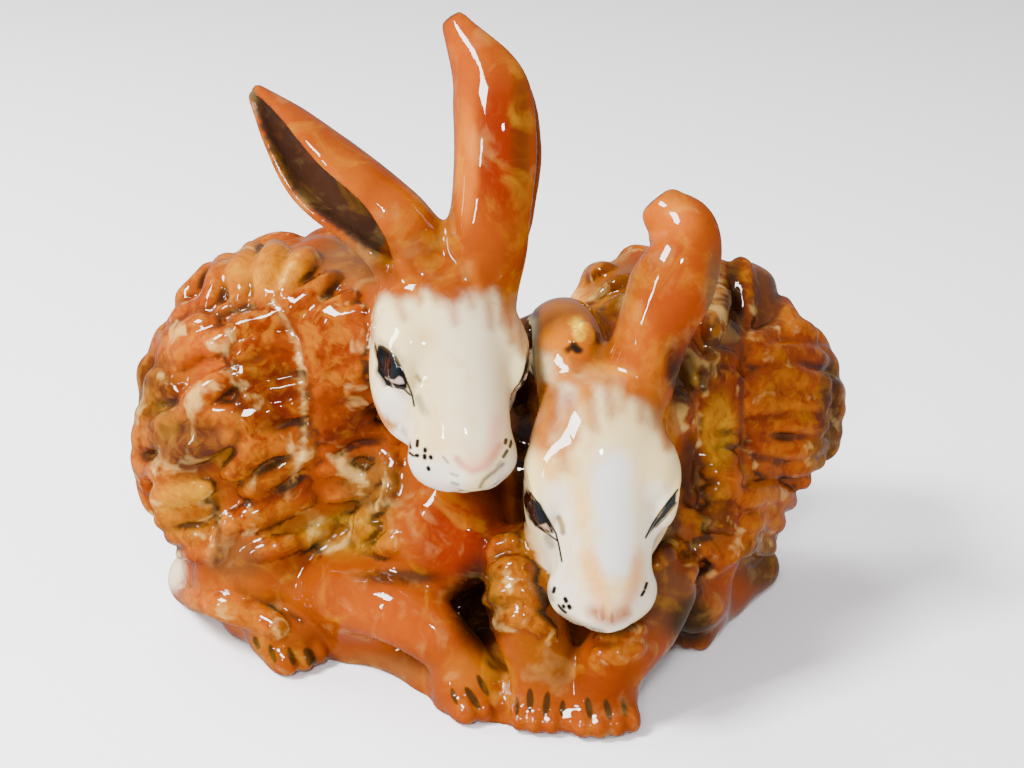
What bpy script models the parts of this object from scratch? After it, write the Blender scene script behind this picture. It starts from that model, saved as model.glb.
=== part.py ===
"""A glazed porcelain group of two rabbits that lie side by side, cast in one piece.

Each rabbit is a trunk of overlapping masses with a lofted head, hollow leaf-shaped ears, tapered
legs and columns of fat curled locks. The parts are fused, softened and cut flat at the base.
"""
import math

import bmesh
import bpy
from mathutils import Matrix, Vector
from mathutils.bvhtree import BVHTree

HEIGHT = 0.218              # from the base to the tip of the tallest ear
MM = HEIGHT / 218           # the shares below are in millimetres on a figure this tall

BODY_VOXEL = 2.0 * MM       # cell of the smooth body's skin
BODY_SOFTENING = 12         # rounds of smoothing, which fill its creases
VOXEL = 1.4 * MM            # cell of the whole figure's skin
SOFTENING = 2               # rounds of smoothing over the locks, for the thick glaze
FACES = 9800                # triangles of the finished figure

GLAZE = (0.62, 0.22, 0.06, 1.0)
GLOSS = 0.12

# Masses of the trunks: centre x, y, z and radii.
LEFT_MASSES = [
    (-89, 26, 82.5, 33, 43, 42),
    (-105, 22, 62, 22, 35, 34),
    (-84.5, 28, 110.5, 21, 29, 16),
    (-69, 28, 121, 20, 26, 13),
    (-63.5, 28, 77.5, 42, 42, 48),
    (-19.5, 12, 58, 26, 26, 42),
    (-24.5, -8, 48.5, 24, 28, 32),
    (-87.5, 14, 32, 29, 34, 34),
    (-44, 2, 19, 36, 30, 22),
    (-17, -24, 51, 15, 16, 19),
    (-4, 0, 14, 22, 18, 26),
    (6, 26, 60, 24, 22, 48),
    (4, -6, 36, 18, 16, 36),
    (-58, 16, 6, 42, 36, 24),
]
RIGHT_MASSES = [
    (89, 52, 65.5, 26, 34, 36.5),
    (54.5, 42, 72, 36, 42, 46),
    (34, 0, 52.5, 24, 28, 40),
    (62, 14, 46, 24, 26, 32),
    (84.5, 28, 35.5, 12, 17, 20),
    (61.5, -4, 18, 14, 18, 12),
    (43.5, 50, 108.5, 14.5, 18, 14),
    (81.5, 56, 103.5, 14, 15, 15.5),
    (25, -8, 14.5, 22, 14, 24),
    (55, 30, 16, 28, 30, 24),
    (4, -20, 0, 40, 42, 11),
    (60, 28, 6, 23, 28, 18),
    (1.5, 10, 83.5, 13, 14, 24),
]

# Feet and the tail.
FEET = [
    (-115.5, 23, 10, 8, 9, 10),
]

# Necks, legs and the rim of the belly, through points with a radius.
LIMBS = [
    [(-62, 20, 106.5, 30), (-27, -5, 116, 20)],
    [(46.5, 34, 94, 26), (30.5, -14, 84.5, 20)],
    [(-56, -20, 27, 13), (-37, -34, 28, 12), (-19.5, -44, 17, 9.5), (-12, -49.5, 7, 9)],
    [(-110, 19, 8, 8), (-94.5, 7, 8, 9), (-76.5, -16, 7, 10)],
    [(-62.5, -12.5, 5, 7), (-41, -27.5, 5, 7), (-20.5, -46, 5, 6)],
    [(5, -38, 48.5, 13), (4.5, -46, 36.5, 13), (8.5, -53, 22, 11), (11, -51, 8, 10)],
    [(47.5, -28, 32.5, 14), (42, -38, 25, 13), (32, -56.5, 20, 11), (29.5, -53.5, 8, 10)],
    [(88.5, 34, 9, 9), (78, 19, 8, 8), (63.5, -2, 8, 9)],
]
HEAD_SIZE = 0.98

# Heads: centre, forward direction and up direction.
HEADS = [
    ((-20.5, -28, 114.5), (0.18, -0.71, -0.68), (0.36, -0.87, 0.35)),
    ((28, -46, 78.5), (0.02, -0.55, -0.83), (0.1, -0.92, 0.37)),
]

# Ears, base to tip: centre, radius of the roll, half thickness, half angle of the gap, and the side
# that the gap faces.
EARS = [
    [
        (-26.4, -10, 131.7, 6, 6, 10, -0.94, -0.33, 0.13),
        (-34.9, -14, 149.9, 10, 3.4, 34, -0.51, -0.8, -0.31),
        (-44.6, -12, 159.3, 11.2, 2.4, 50, -0.44, -0.88, -0.19),
        (-60.8, -4, 170.1, 11.4, 2, 56, -0.44, -0.88, -0.19),
        (-73.1, 6, 181.1, 7.6, 1.8, 64, -0.44, -0.88, -0.19),
        (-83.2, 14, 191.2, 1.8, 1.7, 75, -0.44, -0.88, -0.19),
    ],
    [
        (-10.3, -10, 131.7, 6, 6, 10, 1, 0, 0),
        (-7.3, -15, 150.3, 10, 3.4, 25, 1, 0, 0),
        (-5.1, -12, 162.6, 11.5, 2.6, 32, 1, -0.09, 0.04),
        (-3.2, -6, 180.4, 13, 2.2, 40, 1, -0.09, 0.04),
        (-6, 4, 197.3, 11.5, 2.2, 45, 1, -0.09, 0.04),
        (-17.8, 12, 214.7, 3, 2.2, 60, 0.98, -0.07, -0.18),
    ],
    [
        (37.5, -24, 92.8, 6, 6, 10, 1, 0, 0),
        (40.9, -26, 108.6, 8.5, 3.6, 25, 1, 0.09, -0.04),
        (46, -20, 121.7, 10, 2.8, 35, 1, 0.09, -0.04),
        (53, -14, 138.2, 12.5, 2.4, 40, 1, 0.09, -0.04),
        (55.7, -8, 150.7, 10, 2.4, 45, 1, 0.09, -0.04),
        (48.7, -4, 158.8, 5.5, 2.6, 60, 1, 0.09, -0.04),
    ],
    [
        (21.3, -24, 92.8, 6, 6, 10, -1, 0, 0),
        (19, -20, 106.6, 9, 3.4, 25, -1, 0, 0),
        (18, -6, 110.5, 11, 2.8, 35, -1, 0, 0),
        (17.2, 14, 106.5, 11, 2.4, 40, -1, 0, 0),
        (16.1, 36, 94.4, 8, 2.4, 45, -1, 0, 0),
        (15.1, 54, 83.6, 3, 2.4, 60, -1, 0, 0),
    ],
]

# Paws: centre of the heel, heading in degrees and size.
PAWS = [
    (-12.5, -54, 7, -52, 1),
    (-76, -23.5, 8, -44, 1.08),
    (10.5, -58, 7.5, -93, 0.95),
    (29, -60, 7.5, -79, 1),
    (62, -3.5, 8, -120, 0.85),
]
TOES = (-8, -2.7, 2.7, 8)   # sideways places of the four toes

# Head, from the back of the skull to the nose: distance forward, half width, half height, rise.
SKULL = [
    (-36, 9, 8, 0), (-32, 15, 13, 1), (-24, 20, 18, 1), (-12, 23.5, 21, 0), (0, 24, 21, -1),
    (8, 22, 19, -2), (16, 18.5, 16.5, -2), (24, 17, 14, -2), (32, 16.5, 12.5, -2),
    (39, 14.5, 10, -2), (44, 9.5, 6.5, -1),
]
# Swellings of the head: forward, sideways, up, radii, and whether both sides have one.
SWELLINGS = [
    (12, 0, 7, 34, 12, 10.5, False),   # bridge of the nose
    (-3, 17, 7, 11, 8, 8.5, True),     # brow
    (6, 19, 6, 8, 6, 6, True),         # eye
    (8, 13, -9, 17, 9, 12, True),      # cheek
    (32.5, 8.2, -3, 10, 9.2, 10, True),  # whisker pad
    (42.5, 0, 4, 5, 6.5, 5.5, False),  # nose
]

# Line inside each trunk, rump to shoulder, from which the locks are set out.
LEFT_AXIS = ((-95.2, 24, 65.2), (-51.8, 14, 59.9))
RIGHT_AXIS = ((88.5, 50, 57.7), (48.6, 20, 56))

# Columns of locks: from and to along the axis, first and last angle from the spine in degrees,
# count, radius and slant in degrees. Below 0 or above 1 a column turns round an end of the trunk.
LEFT_COLUMNS = [
    (0.68, 1.04, 4, 66, 6, 4.6, -9),
    (0.3, 0.68, 24, 106, 8, 4.8, -12),
    (-0.04, 0.3, 26, 106, 8, 4.8, -8),
    (-0.38, -0.04, 22, 104, 7, 5.2, -3),
    (-0.78, -0.38, -150, 150, 12, 6.2, 0),
    (0.24, 0.78, 112, 148, 3, 5, -9),
    (0.55, 1.05, -150, -16, 12, 5.2, 8),
    (0.05, 0.55, -150, -18, 12, 5.2, 6),
    (-0.38, 0.05, -150, -14, 11, 5.4, 4),
]
RIGHT_COLUMNS = [
    (0.1, 0.56, -27, -99, 7, 5, 0),
    (-0.34, 0.1, -24, -96, 6, 5.6, 0),
    (0.62, 0.94, -36, -128, 9, 4.4, 0),
    (0.96, 1.22, -42, -112, 7, 4.2, 0),
    (-0.76, -0.34, -122, 150, 10, 6.4, 0),
    (0.66, 1.1, 30, 140, 9, 5.2, 0),
    (0.2, 0.66, 24, 140, 10, 5.4, 0),
    (-0.34, 0.2, 24, 140, 10, 5.6, 0),
]
# Single locks: places along the axis with angles from the spine, and a radius.
LEFT_LOCKS = [
    ([(0.4, 28), (0.22, 18), (-0.04, 8)], 5),
    ([(0.46, 28), (0.36, 12), (0.22, -6)], 5),
    ([(0.53, 28), (0.54, 12), (0.5, -8)], 5),
    ([(0.6, 28), (0.7, 12), (0.78, -6)], 5),
    ([(0.02, 26), (-0.14, 18), (-0.28, 6)], 5),
    ([(0.8, 114), (1.02, 115), (1.2, 103), (1.28, 86), (1.22, 70)], 4.8),
    ([(0.82, 100), (1, 98), (1.1, 84)], 4.8),
    ([(0.76, 84), (0.92, 81), (1.12, 72)], 4.6),
    ([(0.76, 130), (0.96, 125), (1.14, 112)], 4.6),
]
RIGHT_LOCKS = [
    ([(0.46, -24), (0.4, -8), (0.36, 12)], 5.6),
    ([(0.26, -24), (0.2, -8), (0.16, 14)], 6),
    ([(0.06, -22), (0, -8), (-0.02, 12)], 5.6),
    ([(0.68, -30), (0.64, -14), (0.58, 8)], 5.4),
    ([(0.86, -34), (0.82, -18), (0.74, 4)], 5),
]
SUNK = 0.15                 # share of a lock's radius that lies under the skin
BOW = 1.5                   # degrees by which a lock's middle rises


def clear_scene():
    for thing in list(bpy.data.objects):
        bpy.data.objects.remove(thing, do_unlink=True)


def add_ball(mesh, centre, radii, turn=Matrix.Identity(4)):
    place = Matrix.Translation(Vector(centre) * MM)
    stretch = Matrix.Diagonal([r * MM for r in radii] + [1.0])
    bmesh.ops.create_icosphere(mesh, subdivisions=4, radius=1.0, matrix=place @ turn @ stretch)


def add_loft(mesh, rings):
    """Skins closed rings of equal count, one after another, and caps both ends."""
    loops = [[mesh.verts.new(point * MM) for point in ring] for ring in rings]
    count = len(loops[0])
    for low, high in zip(loops, loops[1:]):
        for i in range(count):
            j = (i + 1) % count
            mesh.faces.new((low[i], low[j], high[j], high[i]))
    mesh.faces.new(reversed(loops[0]))
    mesh.faces.new(loops[-1])


def through(points, steps):
    """A smooth run of points through the given rows of numbers (Catmull-Rom)."""
    rows = [Vector(p) for p in points]
    rows = [2 * rows[0] - rows[1]] + rows + [2 * rows[-1] - rows[-2]]
    run = []
    for k in range(len(rows) - 3):
        a, b, c, d = rows[k:k + 4]
        for s in range(steps):
            t = s / steps
            bend = (2 * a - 5 * b + 4 * c - d) * t * t + (3 * b - a - 3 * c + d) * t ** 3
            run.append(0.5 * (2 * b + (c - a) * t + bend))
    run.append(rows[-2])
    return run


def add_strand(curve, points):
    """A round strand through rows of x, y, z and radius."""
    spline = curve.splines.new("BEZIER")
    spline.bezier_points.add(len(points) - 1)
    for knot, (x, y, z, radius) in zip(spline.bezier_points, points):
        knot.co = Vector((x, y, z)) * MM
        knot.radius = radius * MM
        knot.handle_left_type = knot.handle_right_type = "AUTO"


def new_strands():
    curve = bpy.data.curves.new("strands", "CURVE")
    curve.dimensions = "3D"
    curve.bevel_depth = 1.0
    curve.bevel_resolution = 3
    curve.resolution_u = 6
    curve.use_fill_caps = True
    return curve


def add_strands(mesh, curve):
    """Turns the strands into skin and adds it to the mesh."""
    holder = bpy.data.objects.new("strands", curve)
    bpy.context.scene.collection.objects.link(holder)
    graph = bpy.context.evaluated_depsgraph_get()
    skin = bpy.data.meshes.new_from_object(holder.evaluated_get(graph))
    mesh.from_mesh(skin)
    bpy.data.objects.remove(holder, do_unlink=True)
    bpy.data.meshes.remove(skin)


def add_limbs(mesh, limbs):
    curve = new_strands()
    for points in limbs:
        add_strand(curve, points)
        for x, y, z, radius in (points[0], points[-1]):
            add_ball(mesh, (x, y, z), (radius, radius, radius))
    add_strands(mesh, curve)


def head_axes(forward, up):
    forward = Vector(forward).normalized()
    up = Vector(up)
    up = (up - forward * up.dot(forward)).normalized()
    return forward, forward.cross(up), up


def add_head(mesh, centre, forward, up):
    forward, side, up = head_axes(forward, up)
    turn = Matrix((forward, side, up)).transposed().to_4x4()
    centre = Vector(centre)
    rings = []
    for ahead, wide, high, rise in through(SKULL, 4):
        middle = centre + HEAD_SIZE * (forward * ahead + up * rise)
        angles = [math.tau * i / 32 for i in range(32)]
        rings.append([middle + HEAD_SIZE * (side * wide * math.cos(a) + up * high * math.sin(a))
                      for a in angles])
    add_loft(mesh, rings)
    for ahead, across, rise, a, b, c, both in SWELLINGS:
        for hand in ((-1, 1) if both else (1,)):
            spot = centre + HEAD_SIZE * (forward * ahead + side * across * hand + up * rise)
            add_ball(mesh, spot, (a * HEAD_SIZE, b * HEAD_SIZE, c * HEAD_SIZE), turn)


def add_ear(mesh, stations):
    """A leaf rolled lengthwise: at each station a ring with a gap on one side."""
    run = through(stations, 6)
    spine = [Vector(row[:3]) for row in run]
    rings = []
    for k, row in enumerate(run):
        radius, wall, gap = max(row[3], 0.4), max(row[4], 0.6), math.radians(row[5])
        along = (spine[min(k + 1, len(run) - 1)] - spine[max(k - 1, 0)]).normalized()
        opening = Vector(row[6:9])
        opening = (opening - along * opening.dot(along)).normalized()
        across = along.cross(opening)
        angles = [gap + (math.tau - 2 * gap) * i / 20 for i in range(21)]
        outer = [(radius + wall, a) for a in angles]
        inner = [(max(radius - wall, 0.2), a) for a in reversed(angles)]
        rings.append([spine[k] + r * (opening * math.cos(a) + across * math.sin(a))
                      for r, a in outer + inner])
    add_loft(mesh, rings)


def fused(mesh, voxel, softening, faces=None):
    """Joins every overlapping shell into one skin, smooths it and thins out its faces."""
    skin = bpy.data.meshes.new("shells")
    mesh.to_mesh(skin)
    holder = bpy.data.objects.new("shells", skin)
    bpy.context.scene.collection.objects.link(holder)
    remesh = holder.modifiers.new("fuse", "REMESH")
    remesh.mode = "VOXEL"
    remesh.voxel_size = voxel
    smooth = holder.modifiers.new("soften", "SMOOTH")
    smooth.factor = 0.5
    smooth.iterations = softening
    holder.modifiers.new("halve", "TRIANGULATE")
    result = evaluated(holder)
    if faces:
        thin = holder.modifiers.new("thin", "DECIMATE")
        thin.ratio = faces / len(result.polygons)
        bpy.data.meshes.remove(result)
        result = evaluated(holder)
    bpy.data.objects.remove(holder, do_unlink=True)
    bpy.data.meshes.remove(skin)
    return result


def evaluated(holder):
    graph = bpy.context.evaluated_depsgraph_get()
    return bpy.data.meshes.new_from_object(holder.evaluated_get(graph))


def trunk_ray(axis, along, angle):
    """Start and direction of the ray that meets the skin at a place along and round a trunk."""
    rump, shoulder = Vector(axis[0]), Vector(axis[1])
    line = shoulder - rump
    forward = line.normalized()
    top = Vector((0, 0, 1))
    top = (top - forward * top.dot(forward)).normalized()
    side = forward.cross(top)
    past = (min(along, 0) + max(along - 1, 0)) * math.pi / 2
    out = top * math.cos(angle) + side * math.sin(angle)
    start = rump + line * min(max(along, 0), 1)
    return start, (out * math.cos(past) + forward * math.sin(past)).normalized()


def add_lock(curve, tree, axis, path, radius):
    """One fat lock that lies on the trunk and thins out towards both ends."""
    run = through(path, 2)
    knots = []
    for k, (along, angle) in enumerate(run):
        start, way = trunk_ray(axis, along, math.radians(angle))
        hit = tree.ray_cast(start * MM, way)[0]
        if hit is None:
            return
        thick = radius * (0.55 + 0.5 * math.sin(math.pi * k / (len(run) - 1)) ** 0.5)
        knots.append((*(hit / MM - way * thick * SUNK), thick))
    add_strand(curve, knots)


def add_locks(curve, tree, axis, columns, singles):
    for low, high, first, last, count, radius, slant in columns:
        for i in range(count):
            angle = first + (last - first) * (i + 0.5) / count
            middle = ((low + high) / 2, angle - BOW)
            path = [(low, angle - slant / 2), middle, (high, angle + slant / 2)]
            add_lock(curve, tree, axis, path, radius)
    for path, radius in singles:
        add_lock(curve, tree, axis, path, radius)


def add_paw(mesh, x, y, z, heading, size):
    turn = Matrix.Rotation(math.radians(heading), 4, "Z")
    ahead = turn @ Vector((1, 0, 0))
    side = turn @ Vector((0, 1, 0))
    heel = Vector((x, y, z)) - 3 * size * ahead
    add_ball(mesh, heel, (11 * size, 11.5 * size, 8.5 * size), turn)
    for across in TOES:
        toe = Vector((x, y, 0)) + size * (ahead * (6.5 - abs(across) / 4) + side * across)
        toe.z = 4.6 * size
        add_ball(mesh, toe, (7.5 * size, 3.6 * size, 4.8 * size), turn)


def keep_outer_skin(mesh):
    """Drops the skins of bubbles that the joined masses shut in, so the clay is solid."""
    left = set(mesh.verts)
    pieces = []
    while left:
        front = [left.pop()]
        piece = list(front)
        while front:
            near = {edge.other_vert(v) for v in front for edge in v.link_edges} & left
            left -= near
            front = list(near)
            piece += front
        pieces.append(piece)
    pieces.sort(key=len)
    for piece in pieces[:-1]:
        bmesh.ops.delete(mesh, geom=piece, context="VERTS")


def cut_flat(mesh):
    """Cuts the figure off at the floor and closes the cut."""
    everything = mesh.verts[:] + mesh.edges[:] + mesh.faces[:]
    bmesh.ops.bisect_plane(mesh, geom=everything, plane_co=(0, 0, 0), plane_no=(0, 0, -1),
                           clear_outer=True)
    rim = [edge for edge in mesh.edges if edge.is_boundary]
    bmesh.ops.holes_fill(mesh, edges=rim, sides=0)
    bmesh.ops.triangulate(mesh, faces=mesh.faces[:])


def centre_on_base(mesh):
    xs = [v.co.x for v in mesh.verts]
    ys = [v.co.y for v in mesh.verts]
    shift = Vector((-(min(xs) + max(xs)) / 2, -(min(ys) + max(ys)) / 2, 0))
    bmesh.ops.translate(mesh, verts=mesh.verts[:], vec=shift)


def glaze_material():
    glaze = bpy.data.materials.new("orange_glaze")
    glaze.use_nodes = True
    shader = glaze.node_tree.nodes["Principled BSDF"]
    shader.inputs["Base Color"].default_value = GLAZE
    shader.inputs["Roughness"].default_value = GLOSS
    shader.inputs["Metallic"].default_value = 0.0
    return glaze


def build_smooth_body():
    """Trunks, heads, legs and feet, fused and softened until they flow into one another."""
    body = bmesh.new()
    for x, y, z, a, b, c in LEFT_MASSES + RIGHT_MASSES + FEET:
        add_ball(body, (x, y, z), (a, b, c))
    add_limbs(body, LIMBS)
    for head in HEADS:
        add_head(body, *head)
    smooth = bmesh.new()
    smooth.from_mesh(fused(body, BODY_VOXEL, BODY_SOFTENING))
    body.free()
    return smooth


def build_figure():
    figure = build_smooth_body()
    tree = BVHTree.FromBMesh(figure)
    locks = new_strands()
    add_locks(locks, tree, LEFT_AXIS, LEFT_COLUMNS, LEFT_LOCKS)
    add_locks(locks, tree, RIGHT_AXIS, RIGHT_COLUMNS, RIGHT_LOCKS)
    add_strands(figure, locks)
    for ear in EARS:
        add_ear(figure, ear)
    for paw in PAWS:
        add_paw(figure, *paw)
    body = bmesh.new()
    body.from_mesh(fused(figure, VOXEL, SOFTENING, FACES))
    figure.free()
    cut_flat(body)
    keep_outer_skin(body)
    centre_on_base(body)
    finished = bpy.data.meshes.new("rabbit_pair")
    body.to_mesh(finished)
    body.free()
    finished.materials.append(glaze_material())
    return finished


clear_scene()
group = bpy.data.collections.new("porcelain_rabbit_figurine")
bpy.context.scene.collection.children.link(group)
group.objects.link(bpy.data.objects.new("rabbit_pair", build_figure()))
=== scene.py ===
"""Two glazed porcelain rabbits that lie side by side, on a pale studio floor.

The figure is sculpted as a signed distance field in millimetres, skinned, thinned and painted
vertex by vertex, and then given a procedural glaze. Lengths in the tables are in millimetres:
x to the right, y away from the camera, z up, with the floor at zero.
"""
import copy
import itertools
import math

import bmesh
import bpy
import numpy as np
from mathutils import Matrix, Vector


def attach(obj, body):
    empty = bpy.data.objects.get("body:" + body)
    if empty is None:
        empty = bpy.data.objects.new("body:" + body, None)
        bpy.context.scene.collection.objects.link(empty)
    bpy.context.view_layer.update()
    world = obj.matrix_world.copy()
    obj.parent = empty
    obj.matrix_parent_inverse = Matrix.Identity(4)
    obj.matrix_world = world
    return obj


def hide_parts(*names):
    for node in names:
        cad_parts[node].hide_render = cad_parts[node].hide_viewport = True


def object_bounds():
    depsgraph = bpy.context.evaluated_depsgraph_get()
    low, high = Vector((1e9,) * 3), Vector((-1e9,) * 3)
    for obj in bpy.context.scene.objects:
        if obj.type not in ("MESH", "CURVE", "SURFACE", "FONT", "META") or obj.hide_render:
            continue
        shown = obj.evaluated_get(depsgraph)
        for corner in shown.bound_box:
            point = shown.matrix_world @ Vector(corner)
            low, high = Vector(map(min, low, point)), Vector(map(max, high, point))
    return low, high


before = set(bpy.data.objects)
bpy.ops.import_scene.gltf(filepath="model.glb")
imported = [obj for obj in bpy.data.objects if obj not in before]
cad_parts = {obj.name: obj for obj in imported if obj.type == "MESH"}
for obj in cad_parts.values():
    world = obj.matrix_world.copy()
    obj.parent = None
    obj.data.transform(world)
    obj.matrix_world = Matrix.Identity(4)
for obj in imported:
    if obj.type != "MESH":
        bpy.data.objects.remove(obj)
cad_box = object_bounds()
CELL = 0.95
MOST_TRIANGLES = 150000

# Camera: distance to its target, target, tilt, and pixels per millimetre at the target.
DISTANCE = 700.0
TARGET = np.array([0.0, 0.0, 95.0])
TILT = math.radians(22)
SCALE = 3.0
WIDE, HIGH = 1024, 768      # pixels of the frame
FOCUS = SCALE * DISTANCE    # the lens, in pixels of that frame
AHEAD = np.array([0, math.cos(TILT), -math.sin(TILT)])
UPWARD = np.array([0, math.sin(TILT), math.cos(TILT)])
RIGHTWARD = np.array([1.0, 0, 0])
EYE = TARGET - AHEAD * DISTANCE

# Tags that shapes leave in the field. Locks count up from their first.
LEG, PAW, TOE, FOOT, HEAD, EYEBALLS, EAR = 3, 4, 5, 6, 10, 11, 20
LEFT_FUR, RIGHT_FUR, LATE_FUR = 30, 50, 70

# Masses of the trunks: centre x, y, z, radii, and how softly each joins the rest.
LEFT_MASSES = [
    (-89, 26, 82.5, 33, 43, 42, 12), (-105, 22, 62, 22, 35, 34, 10),
    (-84.5, 28, 110.5, 21, 29, 16, 12), (-69, 28, 121, 20, 26, 13, 8),
    (-63.5, 28, 77.5, 42, 42, 48, 12), (-19.5, 12, 58, 26, 26, 42, 10),
    (-24.5, -8, 48.5, 24, 28, 32, 10), (-87.5, 14, 32, 29, 34, 34, 10),
    (-44, 2, 19, 36, 30, 22, 10), (-17, -24, 51, 15, 16, 19, 6), (-4, 0, 14, 22, 18, 26, 8),
    (6, 26, 60, 24, 22, 48, 10), (4, -6, 36, 18, 16, 36, 8), (-58, 16, 6, 42, 36, 24, 6),
]
RIGHT_MASSES = [
    (89, 52, 65.5, 26, 34, 36.5, 12), (54.5, 42, 72, 36, 42, 46, 12), (34, 0, 52.5, 24, 28, 40, 10),
    (62, 14, 46, 24, 26, 32, 10), (84.5, 28, 35.5, 12, 17, 20, 8), (61.5, -4, 18, 14, 18, 12, 6),
    (43.5, 50, 108.5, 14.5, 18, 14, 10), (81.5, 56, 103.5, 14, 15, 15.5, 8),
    (25, -8, 14.5, 22, 14, 24, 8), (55, 30, 16, 28, 30, 24, 8), (4, -20, 0, 40, 42, 11, 6),
    (60, 28, 6, 23, 28, 18, 6), (1.5, 10, 83.5, 13, 14, 24, 8),
]
HIND_FOOT = ((-115.5, 23, 10), (8, 9, 10))      # the left rabbit's heel: centre and radii
# Paws: heel centre, heading in degrees and size.
PAWS = [
    (-13, -50, 7, -52, 1), (-75.5, -17.5, 8, -44, 1.08), (10.5, -58, 7.5, -93, 0.95),
    (29, -60, 7.5, -79, 1), (62, -3.5, 8, -120, 0.85),
]
# Necks, legs and the rim of the belly, through points with a radius.
LIMBS = [
    [(-62, 20, 106.5, 30), (-27, -5, 116, 20)], [(46.5, 34, 94, 26), (30.5, -14, 84.5, 20)],
    [(-56, -20, 27, 13), (-37, -34, 28, 12), (-20, -44, 19, 9.5), (-12, -45.5, 7, 9)],
    [(-110, 19, 8, 8), (-94.5, 7, 8, 9), (-76.5, -16, 7, 10)],
    [(-63, -6.5, 5, 7), (-41.5, -21.5, 5, 7), (-20.5, -40, 5, 6)],
    [(5, -38, 48.5, 13), (4.5, -46, 36.5, 13), (8.5, -53, 22, 11), (11, -51, 8, 10)],
    [(47.5, -28, 32.5, 14), (42, -38, 25, 13), (32, -56.5, 20, 11), (29.5, -53.5, 8, 10)],
    [(88.5, 34, 9, 9), (78, 19, 8, 8), (63.5, -2, 8, 9)],
]
# Heads: centre, forward direction and up direction.
HEADS = [
    ((-20.5, -28, 114.5), (0.18, -0.71, -0.68), (0.36, -0.87, 0.35)),
    ((28, -46, 78.5), (0.02, -0.55, -0.83), (0.1, -0.92, 0.37)),
]
# Ears, base to tip: centre, radius of the roll, half wall, half angle of the gap, gap side.
EARS = [
    [
        (-26.4, -10, 131.7, 6, 6, 10, -0.94, -0.33, 0.13),
        (-34.9, -14, 149.9, 10, 3.4, 34, -0.51, -0.8, -0.31),
        (-44.6, -12, 159.3, 11.2, 2.4, 50, -0.44, -0.88, -0.19),
        (-60.8, -4, 170.1, 11.4, 2, 56, -0.44, -0.88, -0.19),
        (-73.1, 6, 181.1, 7.6, 1.8, 64, -0.44, -0.88, -0.19),
        (-83.2, 14, 191.2, 1.8, 1.7, 75, -0.44, -0.88, -0.19),
    ],
    [
        (-10.3, -10, 131.7, 6, 6, 10, 1, 0, 0), (-7.3, -15, 150.3, 10, 3.4, 25, 1, 0, 0),
        (-5.1, -12, 162.6, 11.5, 2.6, 32, 1, -0.09, 0.04),
        (-3.2, -6, 180.4, 13, 2.2, 40, 1, -0.09, 0.04),
        (-6, 4, 197.3, 11.5, 2.2, 45, 1, -0.09, 0.04),
        (-17.8, 12, 214.7, 3, 2.2, 60, 0.98, -0.07, -0.18),
    ],
    [
        (37.5, -24, 92.8, 6, 6, 10, 1, 0, 0), (40.9, -26, 108.6, 8.5, 3.6, 25, 1, 0.09, -0.04),
        (46, -20, 121.7, 10, 2.8, 35, 1, 0.09, -0.04),
        (53, -14, 138.2, 12.5, 2.4, 40, 1, 0.09, -0.04),
        (55.7, -8, 150.7, 10, 2.4, 45, 1, 0.09, -0.04),
        (48.7, -4, 158.8, 5.5, 2.6, 60, 1, 0.09, -0.04),
    ],
    [
        (21.3, -24, 92.8, 6, 6, 10, -1, 0, 0), (19, -20, 106.6, 9, 3.4, 25, -1, 0, 0),
        (18, -6, 110.5, 11, 2.8, 35, -1, 0, 0), (17.2, 14, 106.5, 11, 2.4, 40, -1, 0, 0),
        (16.1, 36, 94.4, 8, 2.4, 45, -1, 0, 0), (15.1, 54, 83.6, 3, 2.4, 60, -1, 0, 0),
    ],
]
EAR_TIP = ((50, -5.5, 155.2), (6.3, 6, 7.2))    # rounds off the right rabbit's tall ear

# Head, from the back of the skull to the nose: forward, half width, half height, rise.
SKULL = [
    (-36, 9, 8, 0), (-32, 15, 13, 1), (-24, 20, 18, 1), (-12, 23.5, 21, 0), (0, 24.2, 21, -1),
    (8, 22, 19, -2), (16, 18.8, 16.5, -2), (24, 17.2, 14, -2), (32, 16.5, 12.5, -2),
    (39, 14.5, 10, -2), (44, 9.5, 6.5, -1),
]
# Swellings: forward, sideways, up, radii, softness, and whether both sides have one.
SWELLINGS = [
    (12, 0, 7, 34, 12.5, 10.5, 8, False), (-3, 17, 8, 11, 7.5, 8, 5, True),
    (6, 14, -9, 17, 9, 12, 6, True), (32.5, 8.2, -3, 10, 9.2, 10, 3, True),
    (42.5, 0, 4.5, 5, 6.5, 5.5, 3, False),
]
# Hollows of the head: in front of the eye, and between cheek and whisker pad.
HOLLOWS = [(9, 27, 7, 11, 6, 7, 4), (23, 22.5, -1, 6, 5.5, 9, 6)]
EYEBALL = (6, 18.6, 8, 8.5, 5, 6, 0.8)
# Ridges of the eyelids and grooves of mouth and nostrils: forward, sideways, up; then radius.
LIDS = [
    ([(-5, 22.6, 8.5), (1, 23.6, 12), (8, 21.5, 12.2), (14, 18.3, 9.5)], 1.1, 2.4),
    ([(-5, 22.6, 7.5), (0, 23.2, 4), (8, 20.8, 3.4), (15, 18.0, 6)], 0.9, 2.2),
]
GROOVES = [
    ([(46, 0, -4), (43, 6, -8), (36, 13, -10), (28, 17, -10)], 0.9, 1.0),
    ([(41, 6.5, 9), (45, 4, 6), (47.5, 0, 3.5)], 0.6, 0.8),
]

# Fur. Columns: from and to along the trunk's axis, first and last angle from the spine, count,
# radius and slant in degrees.
LEFT_AXIS = ((-95.2, 24, 65.2), (-51.8, 14, 59.9))
RIGHT_AXIS = ((88.5, 50, 57.7), (48.6, 20, 56))
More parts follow.
